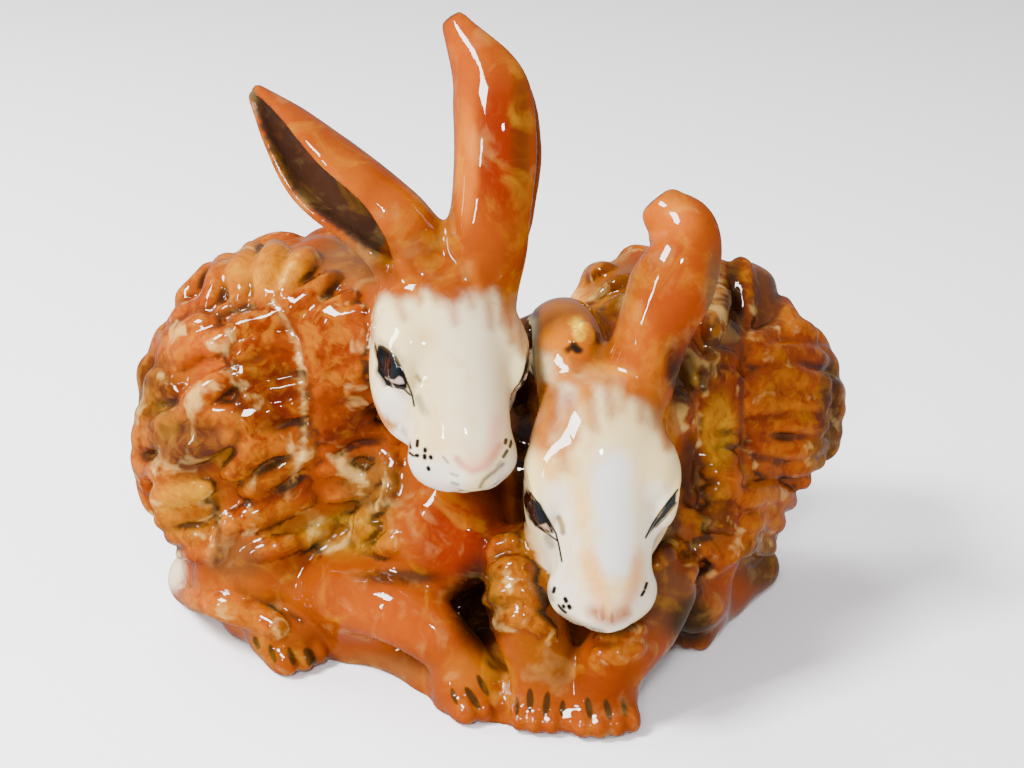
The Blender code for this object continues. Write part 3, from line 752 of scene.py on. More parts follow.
# Soft washes over the trunks, legs and ears as the camera sees them, in pixels of its frame:
# centre x, y, half width, half height, red, green, blue and strength. Most are colours of the glaze;
# the darkest few are painted shade in gaps and creases between parts and on the shaded side of an ear.
GLAZE_AND_SHADE_WASHES = [
    (262, 265, 45, 26, 206, 140, 78, 0.7), (350, 262, 38, 26, 182, 122, 92, 0.95),
    (205, 355, 26, 24, 216, 118, 36, 0.8), (266, 392, 36, 50, 128, 52, 26, 0.92),
    (262, 345, 30, 16, 200, 112, 48, 0.6), (150, 390, 26, 40, 104, 68, 46, 0.8),
    (185, 445, 46, 32, 108, 66, 54, 0.95), (335, 340, 28, 40, 176, 84, 34, 0.7),
    (345, 418, 32, 34, 140, 62, 30, 0.8), (185, 510, 36, 30, 204, 146, 100, 0.8),
    (262, 475, 34, 26, 150, 76, 44, 0.7), (285, 525, 30, 24, 204, 132, 62, 0.8),
    (372, 485, 34, 34, 150, 108, 74, 0.7), (345, 535, 44, 24, 196, 146, 98, 0.7),
    (235, 560, 30, 26, 160, 112, 84, 0.7), (168, 572, 16, 22, 224, 212, 196, 0.9),
    (240, 600, 60, 22, 212, 128, 60, 0.7), (288, 648, 34, 22, 186, 108, 58, 0.6),
    # the dark band at 400, 578 is painted shade in the crease between chest and foreleg
    (460, 540, 46, 46, 186, 80, 22, 0.9), (400, 578, 44, 8, 74, 58, 48, 0.8),
    (400, 620, 60, 30, 214, 120, 50, 0.7), (470, 672, 26, 22, 214, 142, 84, 0.5),
    # the dark patch at 480, 606 is painted shade between the forelegs of the two rabbits
    (370, 672, 60, 18, 186, 132, 100, 0.6), (480, 606, 30, 46, 46, 32, 26, 0.95),
    # the dark strip at 522, 420 is painted shade in the gap between the two heads
    (522, 420, 13, 120, 38, 26, 22, 0.97), (528, 590, 34, 34, 196, 130, 78, 0.6),
    (545, 652, 34, 36, 186, 116, 56, 0.7), (600, 684, 34, 28, 176, 88, 44, 0.7),
    (600, 285, 40, 36, 192, 126, 88, 0.85), (735, 300, 12, 54, 70, 48, 38, 0.9),
    (768, 295, 20, 42, 128, 84, 66, 0.85), (682, 362, 18, 60, 58, 40, 32, 0.92),
    (718, 430, 17, 44, 206, 156, 108, 0.85), (716, 350, 17, 30, 120, 72, 42, 0.7),
    (718, 515, 18, 30, 176, 120, 80, 0.7), (786, 380, 34, 44, 190, 98, 36, 0.85),
    (786, 445, 34, 26, 222, 134, 40, 0.85), (832, 400, 14, 50, 84, 58, 42, 0.85),
    (826, 455, 18, 24, 176, 138, 92, 0.7), (762, 505, 26, 36, 202, 118, 72, 0.85),
    (765, 565, 24, 30, 122, 88, 56, 0.8), (672, 595, 34, 44, 148, 106, 86, 0.8),
    (684, 563, 12, 12, 190, 100, 44, 0.8), (692, 624, 24, 26, 78, 60, 36, 0.9),
    (668, 520, 14, 40, 70, 50, 40, 0.8), (690, 470, 12, 40, 66, 46, 36, 0.8),
    (330, 180, 40, 30, 214, 130, 52, 0.7), (400, 205, 30, 26, 216, 128, 44, 0.8),
    (384, 255, 14, 18, 150, 72, 32, 0.6), (462, 60, 20, 60, 214, 122, 44, 0.8),
    (500, 150, 26, 74, 180, 74, 18, 0.85), (466, 160, 12, 60, 224, 146, 54, 0.8),
    (520, 130, 10, 70, 120, 76, 44, 0.6), (664, 222, 34, 28, 226, 142, 84, 0.85),
    (680, 292, 28, 60, 208, 110, 34, 0.85), (640, 345, 18, 50, 214, 122, 36, 0.8),
    # the dark strip at 531, 325 is painted shade down the shaded side of the right rabbit's near ear
    (562, 320, 36, 40, 222, 150, 70, 0.85), (531, 325, 9, 50, 84, 52, 36, 0.95),
    (600, 345, 10, 36, 186, 120, 84, 0.8), (714, 300, 9, 50, 150, 128, 104, 0.7),
]
# Paint on the heads, in the same pixels: outline or line, half width, softness, colour, strength
# and True where the far side has it too. A half width of None fills the outline. The whisker
# dots after them are short ink lines: both ends and half width.
LEFT_FACE = [
    ((366, 306, 384, 296, 402, 300, 424, 290, 440, 300, 457, 304, 474, 290, 490, 304, 508, 314, 534,
     322, 536, 360, 530, 500, 400, 500, 398, 446, 390, 428, 374, 412, 366, 392, 362, 366, 363, 330),
     None, 8, (228, 216, 192), 1, True), ((470, 330, 480, 440), 22, 26, (232, 224, 208), 0.7),
    ((390, 400, 400, 470, 450, 480), 14, 12, (230, 226, 222), 0.7, True),
    ((366, 300, 360, 330, 358, 362, 364, 392, 376, 414, 390, 426), 4, 4, (220, 150, 92), 0.9, True),
    ((428, 262, 440, 284, 457, 296), 5, 4, (196, 104, 56), 0.8),
    ((398, 262, 412, 290), 5, 6, (216, 132, 60), 0.7),
    ((470, 262, 478, 292), 4, 5, (220, 140, 66), 0.6),
    ((500, 270, 506, 300, 506, 322), 6, 6, (206, 118, 62), 0.75),
    ((384, 262, 392, 276), 6, 7, (166, 92, 44), 0.7),
    ((394, 282, 397, 300, 404, 318), 2.5, 6, STREAK, 0.6), ((410, 276, 419, 302), 3, 6, STREAK, 0.7),
    ((446, 276, 455, 322), 3, 7, STREAK, 0.6), ((466, 278, 471, 306), 3, 6, STREAK, 0.6),
    ((486, 284, 491, 326), 2.5, 7, STREAK, 0.6), ((505, 284, 512, 340), 3.5, 7, STREAK, 0.7),
    ((374, 290, 368, 334), 3, 6, STREAK, 0.7), ((432, 286, 436, 300), 3, 6, STREAK, 0.5),
    ((516, 300, 524, 352), 3, 7, STREAK, 0.7), ((420, 334, 428, 340), 3, 12, (226, 178, 128), 0.35),
    ((372, 340, 378, 344, 388, 349, 396, 357, 402, 368, 407, 381, 407, 389, 396, 387, 384, 384, 377,
     375, 376, 360), None, 1, INK, 1, True),
    ((385, 377, 391, 382, 399, 384, 404, 383, 402, 378, 399, 376, 394, 380), None, 1, (196, 178, 172),
     # a blue-grey patch in the eye: iris with painted sheen
     1, True), ((388, 361, 391, 371), 7, 2.2, IRIS_SHEEN, 0.9, True),
    ((386, 356, 389, 366), 2.2, 2, INK, 0.8, True),
    ((374, 343, 386, 348, 396, 357, 402, 369, 407, 382, 412, 395, 414, 406), 0.9, 0.9, INK, 1, True),
    ((376, 372, 382, 383, 393, 387, 404, 389, 410, 395), 0.8, 0.9, INK, 1, True),
    ((370, 336, 380, 341, 392, 348, 402, 362), 1.5, 5, (178, 160, 138), 0.5, True),
    ((417, 376, 420, 381), 1.6, 2.5, (128, 120, 96), 0.7),
    ((418, 398, 422, 408, 425, 412), 3.2, 4, (142, 140, 108), 0.6),
    ((388, 424, 402, 428, 406, 436), 1.2, 4, (126, 110, 90), 0.6, True),
    ((457, 459, 463, 466, 473, 471, 484, 467, 494, 455, 499, 446), 2.4, 4.5, PINK, 0.75),
    ((470, 464, 484, 462, 494, 446, 496, 420), 4, 9, (230, 186, 174), 0.6),
    ((480, 487, 484, 480, 494, 472, 503, 464), 1.2, 2.5, (108, 98, 92), 0.8),
    ((443, 457, 448, 463), 0.7, 1.6, BROWN, 0.7), ((451, 474, 457, 476), 0.9, 1.8, BROWN, 0.6),
    ((452, 483, 458, 485), 1.1, 1.8, BROWN, 0.6), ((501, 461, 497, 466), 0.5, 1, INK, 0.6),
]
LEFT_DOTS = [
    (409, 444, 410.5, 448, 1.2), (417.4, 441, 417, 446, 1.8), (425, 449.4, 425, 451, 2),
    (409.5, 453, 413, 456, 1.2), (416, 455.6, 417.4, 455.8, 1.9), (424.4, 456, 424.6, 458, 2.1),
    (430.4, 457, 431, 458, 2), (428, 468, 428.6, 469.6, 1.9), (506, 440, 505.4, 443, 1.6),
    (511.4, 441, 510, 447, 1.3), (507, 451, 503.4, 457, 1.4),
]
RIGHT_FACE = [
    ((520, 470, 530, 440, 542, 420, 566, 410, 590, 400, 604, 404, 618, 396, 640, 400, 662, 418, 700,
     440, 700, 520, 664, 560, 655, 640, 560, 640, 548, 590, 534, 566, 524, 540, 518, 500), None, 9,
     (228, 214, 188), 1), ((594, 376, 612, 374, 634, 384), 9, 10, (220, 148, 84), 0.85),
    ((646, 384, 664, 404, 672, 430), 8, 12, (214, 134, 66), 0.85),
    ((552, 394, 546, 416, 540, 442), 9, 11, (216, 140, 66), 0.8),
    ((566, 404, 566, 446), 5, 9, (218, 146, 76), 0.6),
    ((560, 500, 560, 590, 600, 622), 14, 12, (232, 228, 220), 0.7, True),
    ((612, 470, 616, 560), 16, 14, (226, 228, 230), 0.8),
    ((545, 404, 548, 420), 6, 8, (212, 136, 66), 0.7),
    ((584, 396, 588, 424), 5, 8, (220, 160, 100), 0.6),
    ((540, 428, 546, 446), 5, 6, (214, 140, 78), 0.75),
    ((566, 428, 572, 442), 5, 6, (222, 156, 98), 0.65),
    ((554, 446, 558, 456), 4, 6, (218, 150, 92), 0.65),
    ((544, 458, 552, 474), 5, 8, (226, 176, 124), 0.6),
    ((566, 456, 574, 472), 4, 8, (226, 180, 130), 0.5),
    ((586, 452, 596, 446), 2, 5, (218, 170, 124), 0.5), ((552, 396, 556, 430), 4, 7, STREAK, 0.7),
    ((570, 396, 575, 436), 4, 7, STREAK, 0.65), ((590, 392, 596, 430), 4, 7, STREAK, 0.55),
    ((608, 384, 611, 416), 4, 7, STREAK, 0.7), ((626, 380, 622, 408), 4, 7, STREAK, 0.5),
    ((640, 380, 642, 420), 4, 7, STREAK, 0.6), ((668, 396, 668, 446), 5, 7, STREAK, 0.8),
    ((560, 440, 566, 468), 3, 6, STREAK, 0.5), ((576, 492, 584, 516), 6, 10, (230, 194, 156), 0.45),
    ((590, 560, 598, 590, 606, 612), 7, 9, (228, 182, 150), 0.65),
    ((638, 560, 634, 590, 622, 612), 5, 8, (224, 172, 142), 0.65),
    ((654, 380, 660, 400, 656, 424), 5, 8, (206, 128, 66), 0.7),
    ((514, 522, 520, 545, 530, 560), 7, 7, (220, 144, 76), 0.85, True),
    ((521, 486, 530, 494, 538, 505, 545, 515, 551, 525, 554, 534, 545, 533, 535, 527, 528, 517, 523,
     503), None, 1, INK, 1),
    ((539, 526, 545, 529, 551, 533, 549, 528, 546, 524), None, 1, (196, 178, 172), 1),
    # a blue-grey patch in the eye: iris with painted sheen
    ((536, 508, 540, 519), 6, 2.2, IRIS_SHEEN, 0.9),
    ((521, 486, 531, 494, 540, 506, 549, 521, 556, 534, 559, 546, 562, 562), 0.9, 0.9, INK, 1),
    ((524, 503, 529, 517, 536, 526, 546, 533, 557, 541), 0.8, 0.9, INK, 1),
    ((677, 492, 676, 504, 666, 517, 656, 527, 649, 535, 654, 524, 662, 512, 670, 500), None, 1,
     (70, 71, 74), 1), ((678, 490, 670, 500, 661, 512, 653, 524, 646, 538), 0.9, 0.9, INK, 1),
    ((677, 503, 667, 517, 656, 528), 0.5, 0.9, INK, 0.9),
    ((559, 518, 562, 526, 563, 533), 2.2, 2.6, BROWN, 0.8),
    ((548, 538, 552, 546), 3, 4, (150, 138, 118), 0.6),
    ((592, 612, 600, 618, 612, 621, 626, 614), 5, 6, (206, 140, 112), 0.75),
    ((604, 606, 603, 622), 0.8, 2, (176, 96, 66), 0.6),
    ((612, 606, 612, 624), 0.8, 2, (176, 96, 66), 0.6),
    ((597, 610, 594, 620), 0.8, 2, (176, 96, 66), 0.6),
    ((534, 566, 545, 585, 552, 600), 2, 5, (120, 104, 84), 0.7),
    ((560, 618, 580, 628, 600, 634), 4, 6, (84, 72, 62), 0.7),
]
RIGHT_DOTS = [
    (554.6, 589, 553.6, 592.6, 1.8), (565.2, 599.6, 566.4, 602, 2.1), (569, 607, 570, 608.6, 2.1),
    (563.4, 606.6, 564, 608, 1.7), (558.6, 606, 561, 609.4, 1.2), (562.6, 611, 566, 613.4, 1.2),
    (647, 584, 645.4, 589, 1.5), (644.4, 592, 642, 596, 1.4),
]
# Claws, painted as ovals: both ends in the same pixels, and the half width.
CLAWS = [
    (477, 676, 489, 698, 3.6), (465, 688, 480, 711, 4.0), (451, 689, 457, 706, 2.8),
    (485, 661, 496, 671, 2.6), (517, 698, 517, 718, 2.4), (530, 689, 530, 713, 3.8),
    (548, 692, 545, 719, 3.8), (563, 701, 562, 718, 3.0), (587, 698, 591, 721, 3.6),
    (605, 700, 611, 722, 3.6), (623, 699, 626, 719, 2.8), (269, 645, 275, 664, 3.2),
    (288, 648, 294, 667, 3.4), (309, 650, 315, 666, 3.2), (252, 636, 257, 648, 2.4),
]
# Strokes on the bodies and ears: line, half width, softness, colour and strength.
STROKES = [
    ((272, 300, 284, 318, 298, 345, 304, 400, 303, 452, 285, 500), 1, 3, CREAM, 0.5),
    # These dark lines, on the lower flank, above the hind leg and between columns of locks, are glaze
    # pooling with painted shade in the creases.
    ((213, 500, 219, 530, 216, 562), 2.5, 5, POOLED_GLAZE_AND_SHADE, 0.7),
    ((236, 590, 270, 606, 300, 622), 1.5, 4, POOLED_GLAZE_AND_SHADE, 0.5),
    ((742, 345, 741, 400, 742, 470), 1.5, 3, (84, 54, 38), 0.6),
    ((228, 322, 236, 380, 238, 440, 222, 470), 1.4, 3, (120, 84, 60), 0.6),
    ((306, 652, 309, 664), 2.9, 1.4, CLAW, 0.95), ((255, 640, 258, 648), 2.4, 1.4, CLAW, 0.95),
    ((290, 614, 302, 622), 2, 2, CLAW, 0.6),
    ((564, 352, 572, 347, 580, 350), 2.6, 3, (40, 36, 32), 0.9),
    ((574, 344, 577, 350), 3, 3, (40, 36, 32), 0.9), ((558, 354, 566, 352), 1.6, 2, (84, 70, 52), 0.7),
    ((560, 366, 566, 372), 3.5, 5, (150, 140, 96), 0.5),
    ((577, 322, 580, 336), 4.5, 3, (240, 206, 150), 0.8),
    ((561, 388, 563, 396), 3, 3.5, (140, 92, 48), 0.7),
]


# Places that need close detail: pixel x, y, and reach in millimetres.
FINE_ZONES = [
    (392, 368, 11), (400, 386, 10), (410, 398, 7), (420, 452, 9), (474, 464, 12), (506, 448, 6),
    (512, 366, 8), (536, 512, 11), (552, 534, 9), (560, 556, 6), (564, 604, 8), (664, 512, 12),
    (644, 590, 5), (268, 652, 8), (298, 658, 8), (458, 700, 8), (480, 692, 8), (516, 698, 8),
    (538, 700, 8), (560, 698, 8), (584, 700, 8), (608, 698, 8), (570, 350, 8),
]


def claw_outline(x0, y0, x1, y1, half):
    along = np.array([x1 - x0, y1 - y0])
    across = half * np.array([-along[1], along[0]]) / np.hypot(*along)
    turns = np.linspace(0, 2 * np.pi, 13)[:-1]
    return [(x0, y0) + along * (0.5 - 0.5 * np.cos(t)) + across * np.sin(t) for t in turns]


def blended(rgb, colour, cover):
    return rgb + (linear(*colour) - rgb) * cover[:, None]


def stroke_cover(p, line, half, soft):
    """How fully a stroke, or a filled outline where it has no half width, covers points."""
    line = pairs(line)
    if half is None:
        return 1 - step_up(-soft, soft, from_outline(p, line))
    return 1 - step_up(half - soft / 2, half + soft, from_line(p, line))


def to_camera(points):
    way = EYE - points
    return way / np.linalg.norm(way, axis=1, keepdims=True)


def facing_camera(points, normal):
    return step_up(-0.1, 0.15, (normal * to_camera(points)).sum(1))


def screened(points, normal, field):
    """How surely points lie behind something else, seen from the camera."""
    way = to_camera(points)
    nearest = np.full(len(points), 9.0)
    for reach in np.arange(2, 60, 1.5):
        nearest = np.minimum(nearest, field.at(points + normal * 1.5 + way * reach))
    return step_up(0.5, -0.5, nearest)


def painted(points, field, skin):
    """Per vertex: colour of the glaze, with painted shade in gaps and on the ears, and how free of
    mottling it is; crease, recess depth, number of the lock and height above the trunk; and ink."""
    normal = field.slope(points)
    tags = field.tags_at(points - normal * 0.5)
    p = seen(points)
    facing = facing_camera(points, normal)
    rgb = np.tile(linear(*ORANGE), (len(points), 1))
    clean = np.zeros(len(points))
    under = step_up(40, 0, points[:, 2]) * (points[:, 1] > 30)
    rgb = blended(rgb, PINKISH, 0.4 * under)
    # glaze colours, and painted shade in gaps, a crease and on an ear, laid on where the camera sees
    # them
    for x, y, a, b, *colour, strength in GLAZE_AND_SHADE_WASHES:
        r = np.sqrt(((p[:, 0] - x) / a) ** 2 + ((p[:, 1] - y) / b) ** 2)
        rgb = blended(rgb, colour, strength * facing * (1 - step_up(0.55, 1.35, r)))
    claws = [(claw_outline(*claw), None, 1, CLAW, 0.95) for claw in CLAWS]
    for line, half, soft, colour, strength in STROKES + claws:
        rgb = blended(rgb, colour, strength * facing * stroke_cover(p, line, half, soft))
    # Painted shade on the curled-in face of each rolled ear, where the roll folds round.
    ear_hollow_shade = np.zeros(len(points))
    for rows in EARS:
        s, along, gap = ear_run(rows)
        near = np.argmin(np.linalg.norm(points[:, None, :] - s[None, ::3, :3], axis=2), axis=1) * 3
        d = points - s[near, :3]
        across = d - along[near] * (d * along[near]).sum(1, keepdims=True)
        r = np.linalg.norm(across, axis=1)
        inside = step_up(s[near, 3] + 0.4, s[near, 3] - 0.6, r) * (tags == EAR)
        ear_hollow_shade = np.maximum(ear_hollow_shade, inside * (near > 12))
    rgb = blended(rgb, (70, 62, 58), 0.9 * ear_hollow_shade)
    for head, features, dots in zip(HEADS, (LEFT_FACE, RIGHT_FACE), (LEFT_DOTS, RIGHT_DOTS)):
        centre, axes = np.asarray(head[0]), head_axes(head[1], head[2])
        here = np.where(np.isin(tags, (HEAD, EYEBALLS, EAR))
                        & (np.linalg.norm(points - centre, axis=1) < 58))[0]
        local = (points[here] - centre) @ axes.T
        turned = normal[here] @ axes.T
        own = rgb[here]
        free = clean[here]
        other = centre + (local * [1, -1, 1]) @ axes
        other_normal = (turned * [1, -1, 1]) @ axes
        other_facing = facing_camera(other, other_normal)
        other_p = seen(other)
        on_head = tags[here] != EAR
        muzzle = step_up(10, 22, local[:, 0]) * on_head
        own = blended(own, FACE, muzzle)
        free = np.maximum(free, muzzle)
        dots = [(line, half, 1.2, INK, 1) for *line, half in dots]
        for mark in features + dots:
            line, half, soft, colour, strength, both = (*mark, False)[:6]
            cover = facing[here] * stroke_cover(p[here], line, half, soft)
            if both:
                second = other_facing * stroke_cover(other_p, line, half, soft)
                cover = np.maximum(cover, second * (local[:, 1] < 0))
            own = blended(own, colour, strength * cover)
            free = np.maximum(free, strength * cover)
        if features is RIGHT_FACE:
            unseen = 1 - facing[here] * (1 - screened(points[here], normal[here], field))
            along, across, above = local.T
            face = unseen * step_up(-10, 2, along) * on_head
            eye = 1 - step_up(0.85, 1.05, np.hypot((along - 6) / 7.5, (above - 8) / 4.6))
            own = blended(own, FACE, face)
            own = blended(own, INK, unseen * eye * (np.abs(across) > 12))
            free = np.maximum(free, face)
        rgb[here] = own
        clean[here] = free
    ink = 1 - step_up(0.012, 0.05, rgb.max(axis=1))
    clean = np.maximum(clean, 0.6 * (1 - step_up(0.01, 0.05, rgb @ [0.3, 0.6, 0.1])))
    clean = np.maximum(clean, 0.8 * ear_hollow_shade)
    fur = tags >= LEFT_FUR
    clean = np.maximum(clean, np.where(fur, 0, np.where(tags >= EAR, 0.82, 0.78)))
    # Crease and recess depth: they darken the glaze for glaze pooling and for painted shade.
    crease = np.clip((2.2 - field.at(points + normal * 2.2)) / 1.6, 0, 1)
    hollow_shade = np.clip((6.0 - field.at(points + normal * 6.0)) / 6.0, 0, 1)
    lock = np.where(fur, (tags * 0.381966) % 1.0, 0.5)
    height = np.where(fur, np.clip(skin.at(points) / 4.0, 0, 1), 0.7)
    form = np.stack([crease, hollow_shade, lock, height], axis=1)
    return np.column_stack([rgb, clean]), form, np.repeat(ink[:, None], 4, axis=1)


def add_attribute(mesh, name, values):
    layer = mesh.attributes.new(name, "FLOAT_COLOR", "POINT")
    layer.data.foreach_set("color", values.astype(np.float32).ravel())


class Nodes:
    """Short hand for wiring a material."""

    def __init__(self, material):
        material.use_nodes = True
        self.tree = material.node_tree
        self.shader = self.tree.nodes["Principled BSDF"]

    def link(self, source, target):
        self.tree.links.new(source, target)

    def put(self, node, slot, value):
        if isinstance(value, bpy.types.NodeSocket):
            self.link(value, node.inputs[slot])
        else:
            node.inputs[slot].default_value = value

    def attribute(self, name):
        node = self.tree.nodes.new("ShaderNodeAttribute")
        node.attribute_name = name
        return node

    def split(self, source):
        node = self.tree.nodes.new("ShaderNodeSeparateColor")
        self.link(source, node.inputs[0])
        return node.outputs

    def noise(self, where, scale, detail=3.0, rough=0.55, warp=0.0):
        node = self.tree.nodes.new("ShaderNodeTexNoise")
        self.link(where, node.inputs["Vector"])
        node.inputs["Scale"].default_value = scale
        node.inputs["Detail"].default_value = detail
        node.inputs["Roughness"].default_value = rough
        node.inputs["Distortion"].default_value = warp
        return node.outputs["Fac"]

    def ramp(self, value, low, high, to_low=0.0, to_high=1.0):
        node = self.tree.nodes.new("ShaderNodeMapRange")
        node.interpolation_type = "SMOOTHSTEP"
        for slot, one in zip(range(5), (value, low, high, to_low, to_high)):
            self.put(node, slot, one)
        return node.outputs[0]

    def math(self, kind, a, b):
        node = self.tree.nodes.new("ShaderNodeMath")
        node.operation = kind
        self.put(node, 0, a)
        self.put(node, 1, b)
        return node.outputs[0]

    def times(self, a, b):
        return self.math("MULTIPLY", a, b)

    def plus(self, a, b):
        return self.math("ADD", a, b)

    def less(self, a, b):
        return self.math("SUBTRACT", a, b)

    def mix(self, share, a, b, kind="MIX"):
        node = self.tree.nodes.new("ShaderNodeMix")
        node.data_type = "RGBA"
        node.blend_type = kind
        self.put(node, 0, share)
        for slot, one in ((6, a), (7, b)):
            self.put(node, slot, one if isinstance(one, bpy.types.NodeSocket) else (*one, 1.0))
        return node.outputs[2]


def glaze_material():
    """Mottled lead-like glaze: dark where it pools in creases, with painted shade there and in
    recesses; thin and pale on ridges, with a painted highlight on their crests.
    """
    material = bpy.data.materials.new("mottled_glaze")
    n = Nodes(material)
    where = n.tree.nodes.new("ShaderNodeTexCoord").outputs["Object"]
    coat = n.attribute("coat")
    shape = n.attribute("form")
    form = n.split(shape.outputs["Color"])
    crease, hollow_shade, lock, height = form[0], form[1], form[2], shape.outputs["Alpha"]
    ink = n.split(n.attribute("mark").outputs["Color"])[0]
    clean = coat.outputs["Alpha"]
    mottled = n.less(1.0, clean)
    large = n.noise(where, 45, 3, 0.55, 0.8)
    middle = n.noise(where, 120, 4, 0.62, 1.4)
    streak = n.noise(where, 190, 3, 0.55, 0.8)
    fine = n.noise(where, 520, 3, 0.6, 0.4)
    grain = n.noise(where, 1700, 2, 0.6)
    colour = coat.outputs["Color"]

    def mask(share, low, high, weight):
        return n.times(n.ramp(share, low, high), n.times(mottled, weight))

    def patch(share, low, high, weight, over):
        return n.mix(mask(share, low, high, weight), colour, linear(*over))

    def tinted(share, low, high, weight, tint):
        where_tinted = mask(share, low, high, weight)
        return n.mix(where_tinted, colour, n.mix(1.0, colour, tint, "MULTIPLY"))

    colour = tinted(middle, 0.46, 0.64, 0.75, (0.66, 0.46, 0.40))
    colour = tinted(large, 0.46, 0.62, 0.80, (1.35, 1.65, 1.9))
    colour = tinted(lock, 0.45, 0.0, 0.90, (0.56, 0.42, 0.38))
    colour = tinted(lock, 0.55, 1.0, 0.85, (1.3, 1.7, 2.2))
    # Pale ochre on the crests of the locks: thin glaze there, and a painted highlight.
    ridge = n.plus(n.times(height, 0.45), streak)
    colour = patch(ridge, 0.82, 1.08, 0.50, OCHRE)
    colour = patch(n.noise(where, 85, 3, 0.55, 0.5), 0.55, 0.70, 0.45, CREAM)
    tone = n.plus(n.times(n.less(fine, 0.5), 0.6), 1.0)
    grey = n.tree.nodes.new("ShaderNodeCombineColor")
    for slot in range(3):
        n.link(tone, grey.inputs[slot])
    colour = n.mix(mottled, colour, n.mix(1.0, colour, grey.outputs[0], "MULTIPLY"))
    # Dark brown where glaze pools in creases, and painted shade in creases and recesses.
    pooled_and_shaded = n.plus(crease, n.times(n.less(streak, 0.5), 0.9))
    pooled_and_shaded = n.less(pooled_and_shaded, n.times(height, 0.2))
    colour = patch(pooled_and_shaded, 0.02, 0.60, 0.8, POOLED_GLAZE_AND_SHADE)
    colour = patch(hollow_shade, 0.45, 0.95, 0.6, POOLED_GLAZE_AND_SHADE)
    open_paint = n.less(1.0, ink)
    speck = n.times(n.ramp(grain, 0.66, 0.74), n.times(open_paint, 0.3))
    colour = n.mix(speck, colour, linear(120, 84, 50))
    warm = n.times(n.ramp(n.noise(where, 60, 4, 0.6, 0.8), 0.50, 0.72),
                   n.times(n.times(clean, open_paint), 0.30))
    colour = n.mix(warm, colour, linear(222, 180, 134))
    n.link(colour, n.shader.inputs["Base Color"])
    n.link(n.ramp(fine, 0.3, 0.7, 0.10, 0.18), n.shader.inputs["Roughness"])
    n.shader.inputs["Specular IOR Level"].default_value = 0.0
    n.shader.inputs["Coat Weight"].default_value = 1.0
    n.shader.inputs["Coat Roughness"].default_value = 0.03
    n.shader.inputs["Coat IOR"].default_value = 1.36
    bump = n.tree.nodes.new("ShaderNodeBump")
    bump.inputs["Strength"].default_value = 0.16
    bump.inputs["Distance"].default_value = 0.0012
    wave = n.plus(n.noise(where, 95, 3, 0.5, 0.8), n.times(n.noise(where, 260, 2, 0.5), 0.3))
    n.link(n.times(wave, n.plus(n.times(mottled, 0.75), 0.25)), bump.inputs["Height"])
    n.link(bump.outputs[0], n.shader.inputs["Normal"])
    n.link(bump.outputs[0], n.shader.inputs["Coat Normal"])
    return material


def build_figure():
    """The mesh, and the shift and stretch that took the layout to where the model stands."""
    field, skin = sculpted()
    points, quads = skinned(field)
    thin = thinned(points, quads)
    body = bmesh.new()
    body.from_mesh(thin)
    bpy.data.meshes.remove(thin)
    keep_outer_skin(body)
    zones = [(cast(field, x, y), r) for x, y, r in FINE_ZONES]
    zones = [zone for zone in zones if zone[0] is not None]
    refined(body, field, zones, 0.5)
    mesh = bpy.data.meshes.new("glazed_rabbit_pair")
    body.to_mesh(mesh)
    body.free()
    p = np.empty(3 * len(mesh.vertices), np.float32)
    mesh.vertices.foreach_get("co", p)
    p = p.reshape(-1, 3).astype(float)
    coat, form, mark = painted(p, field, skin)
    add_attribute(mesh, "coat", coat)
    add_attribute(mesh, "form", form)
    add_attribute(mesh, "mark", mark)
    low, high = [np.array(c) for c in cad_box]
    stretch = (high - low) / (p.max(0) - p.min(0))
    place = low + (p - p.min(0)) * (high - low) / (p.max(0) - p.min(0))
    mesh.vertices.foreach_set("co", place.astype(np.float32).ravel())
    mesh.polygons.foreach_set("use_smooth", np.ones(len(mesh.polygons), bool))
    mesh.update()
    return mesh, low - p.min(0) * stretch, stretch


mesh, shift, stretch = build_figure()
figure = bpy.data.objects.new("glazed_rabbit_pair", mesh)
bpy.context.scene.collection.objects.link(figure)
mesh.materials.append(glaze_material())
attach(figure, "root")
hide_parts("rabbit_pair")


def placed(point):
    """A layout point in millimetres, in metres where the finished model stands."""
    return Vector(np.asarray(point) * stretch + shift)


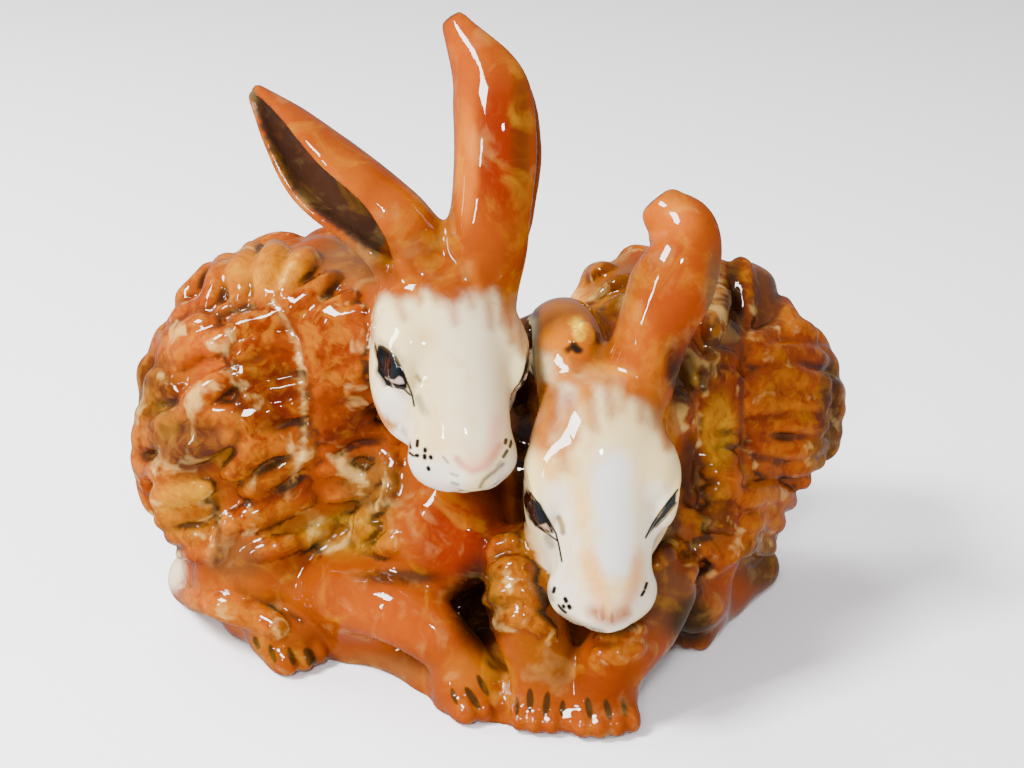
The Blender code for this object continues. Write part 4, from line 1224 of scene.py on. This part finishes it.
camera = bpy.data.cameras.new("camera")
camera.sensor_width = 36
camera.lens = camera.sensor_width * FOCUS / WIDE
viewer = bpy.data.objects.new("camera", camera)
bpy.context.scene.collection.objects.link(viewer)
viewer.location = placed(TARGET) - Vector(AHEAD) * DISTANCE / 1000
viewer.rotation_euler = (math.pi / 2 - TILT, 0, 0)
bpy.context.scene.camera = viewer


def add_light(name, place, target, size, watts, colour=(1, 1, 1), soft=False):
    light = bpy.data.lights.new(name, "AREA")
    light.shape = "RECTANGLE"
    light.size, light.size_y = size
    light.energy = watts
    light.color = colour
    holder = bpy.data.objects.new(name, light)
    holder.location = place
    holder.visible_glossy = not soft
    way = Vector(target) - Vector(place)
    holder.rotation_euler = way.to_track_quat("-Z", "Y").to_euler()
    bpy.context.scene.collection.objects.link(holder)


add_light("key", (-0.75, -0.45, 1.1), (0, 0, 0.08), (0.36, 0.36), 50, (1, 0.985, 0.97))
add_light("side", (-1.2, 0.5, 0.9), (-0.5, 0.05, 0), (0.6, 0.6), 34, (1, 1, 1), True)
add_light("front", (-0.2, -1.35, 0.85), (0, 0, 0.08), (0.34, 0.26), 15, (1, 1, 1), True)
add_light("back", (-0.5, 0.9, 2.0), (0, 0.3, 0), (0.5, 0.5), 20, (0.98, 0.98, 1), True)
add_light("fill", (1.3, -0.6, 0.9), (0, 0, 0.05), (0.5, 0.5), 9, (0.97, 0.98, 1), True)
add_light("slit", (-0.95, -0.75, 0.55), (0, 0, 0.1), (0.07, 0.28), 8)
add_light("lamp", (0.1, -1.2, 1.15), (0, 0, 0.08), (0.12, 0.10), 9)

floor_mesh = bpy.data.meshes.new("floor")
floor_mesh.from_pydata([(-6, -6, 0), (6, -6, 0), (6, 6, 0), (-6, 6, 0)], [], [(0, 1, 2, 3)])
floor = bpy.data.objects.new("floor", floor_mesh)
bpy.context.scene.collection.objects.link(floor)
paper = bpy.data.materials.new("paper")
sheet = Nodes(paper)
sheet.shader.inputs["Base Color"].default_value = (0.90, 0.875, 0.91, 1)
sheet.shader.inputs["Roughness"].default_value = 0.7
floor_mesh.materials.append(paper)
floor.visible_glossy = False

world = bpy.data.worlds.new("studio")
world.use_nodes = True
world.node_tree.nodes["Background"].inputs[0].default_value = (0.93, 0.92, 0.95, 1)
world.node_tree.nodes["Background"].inputs[1].default_value = 0.38
bpy.context.scene.world = world
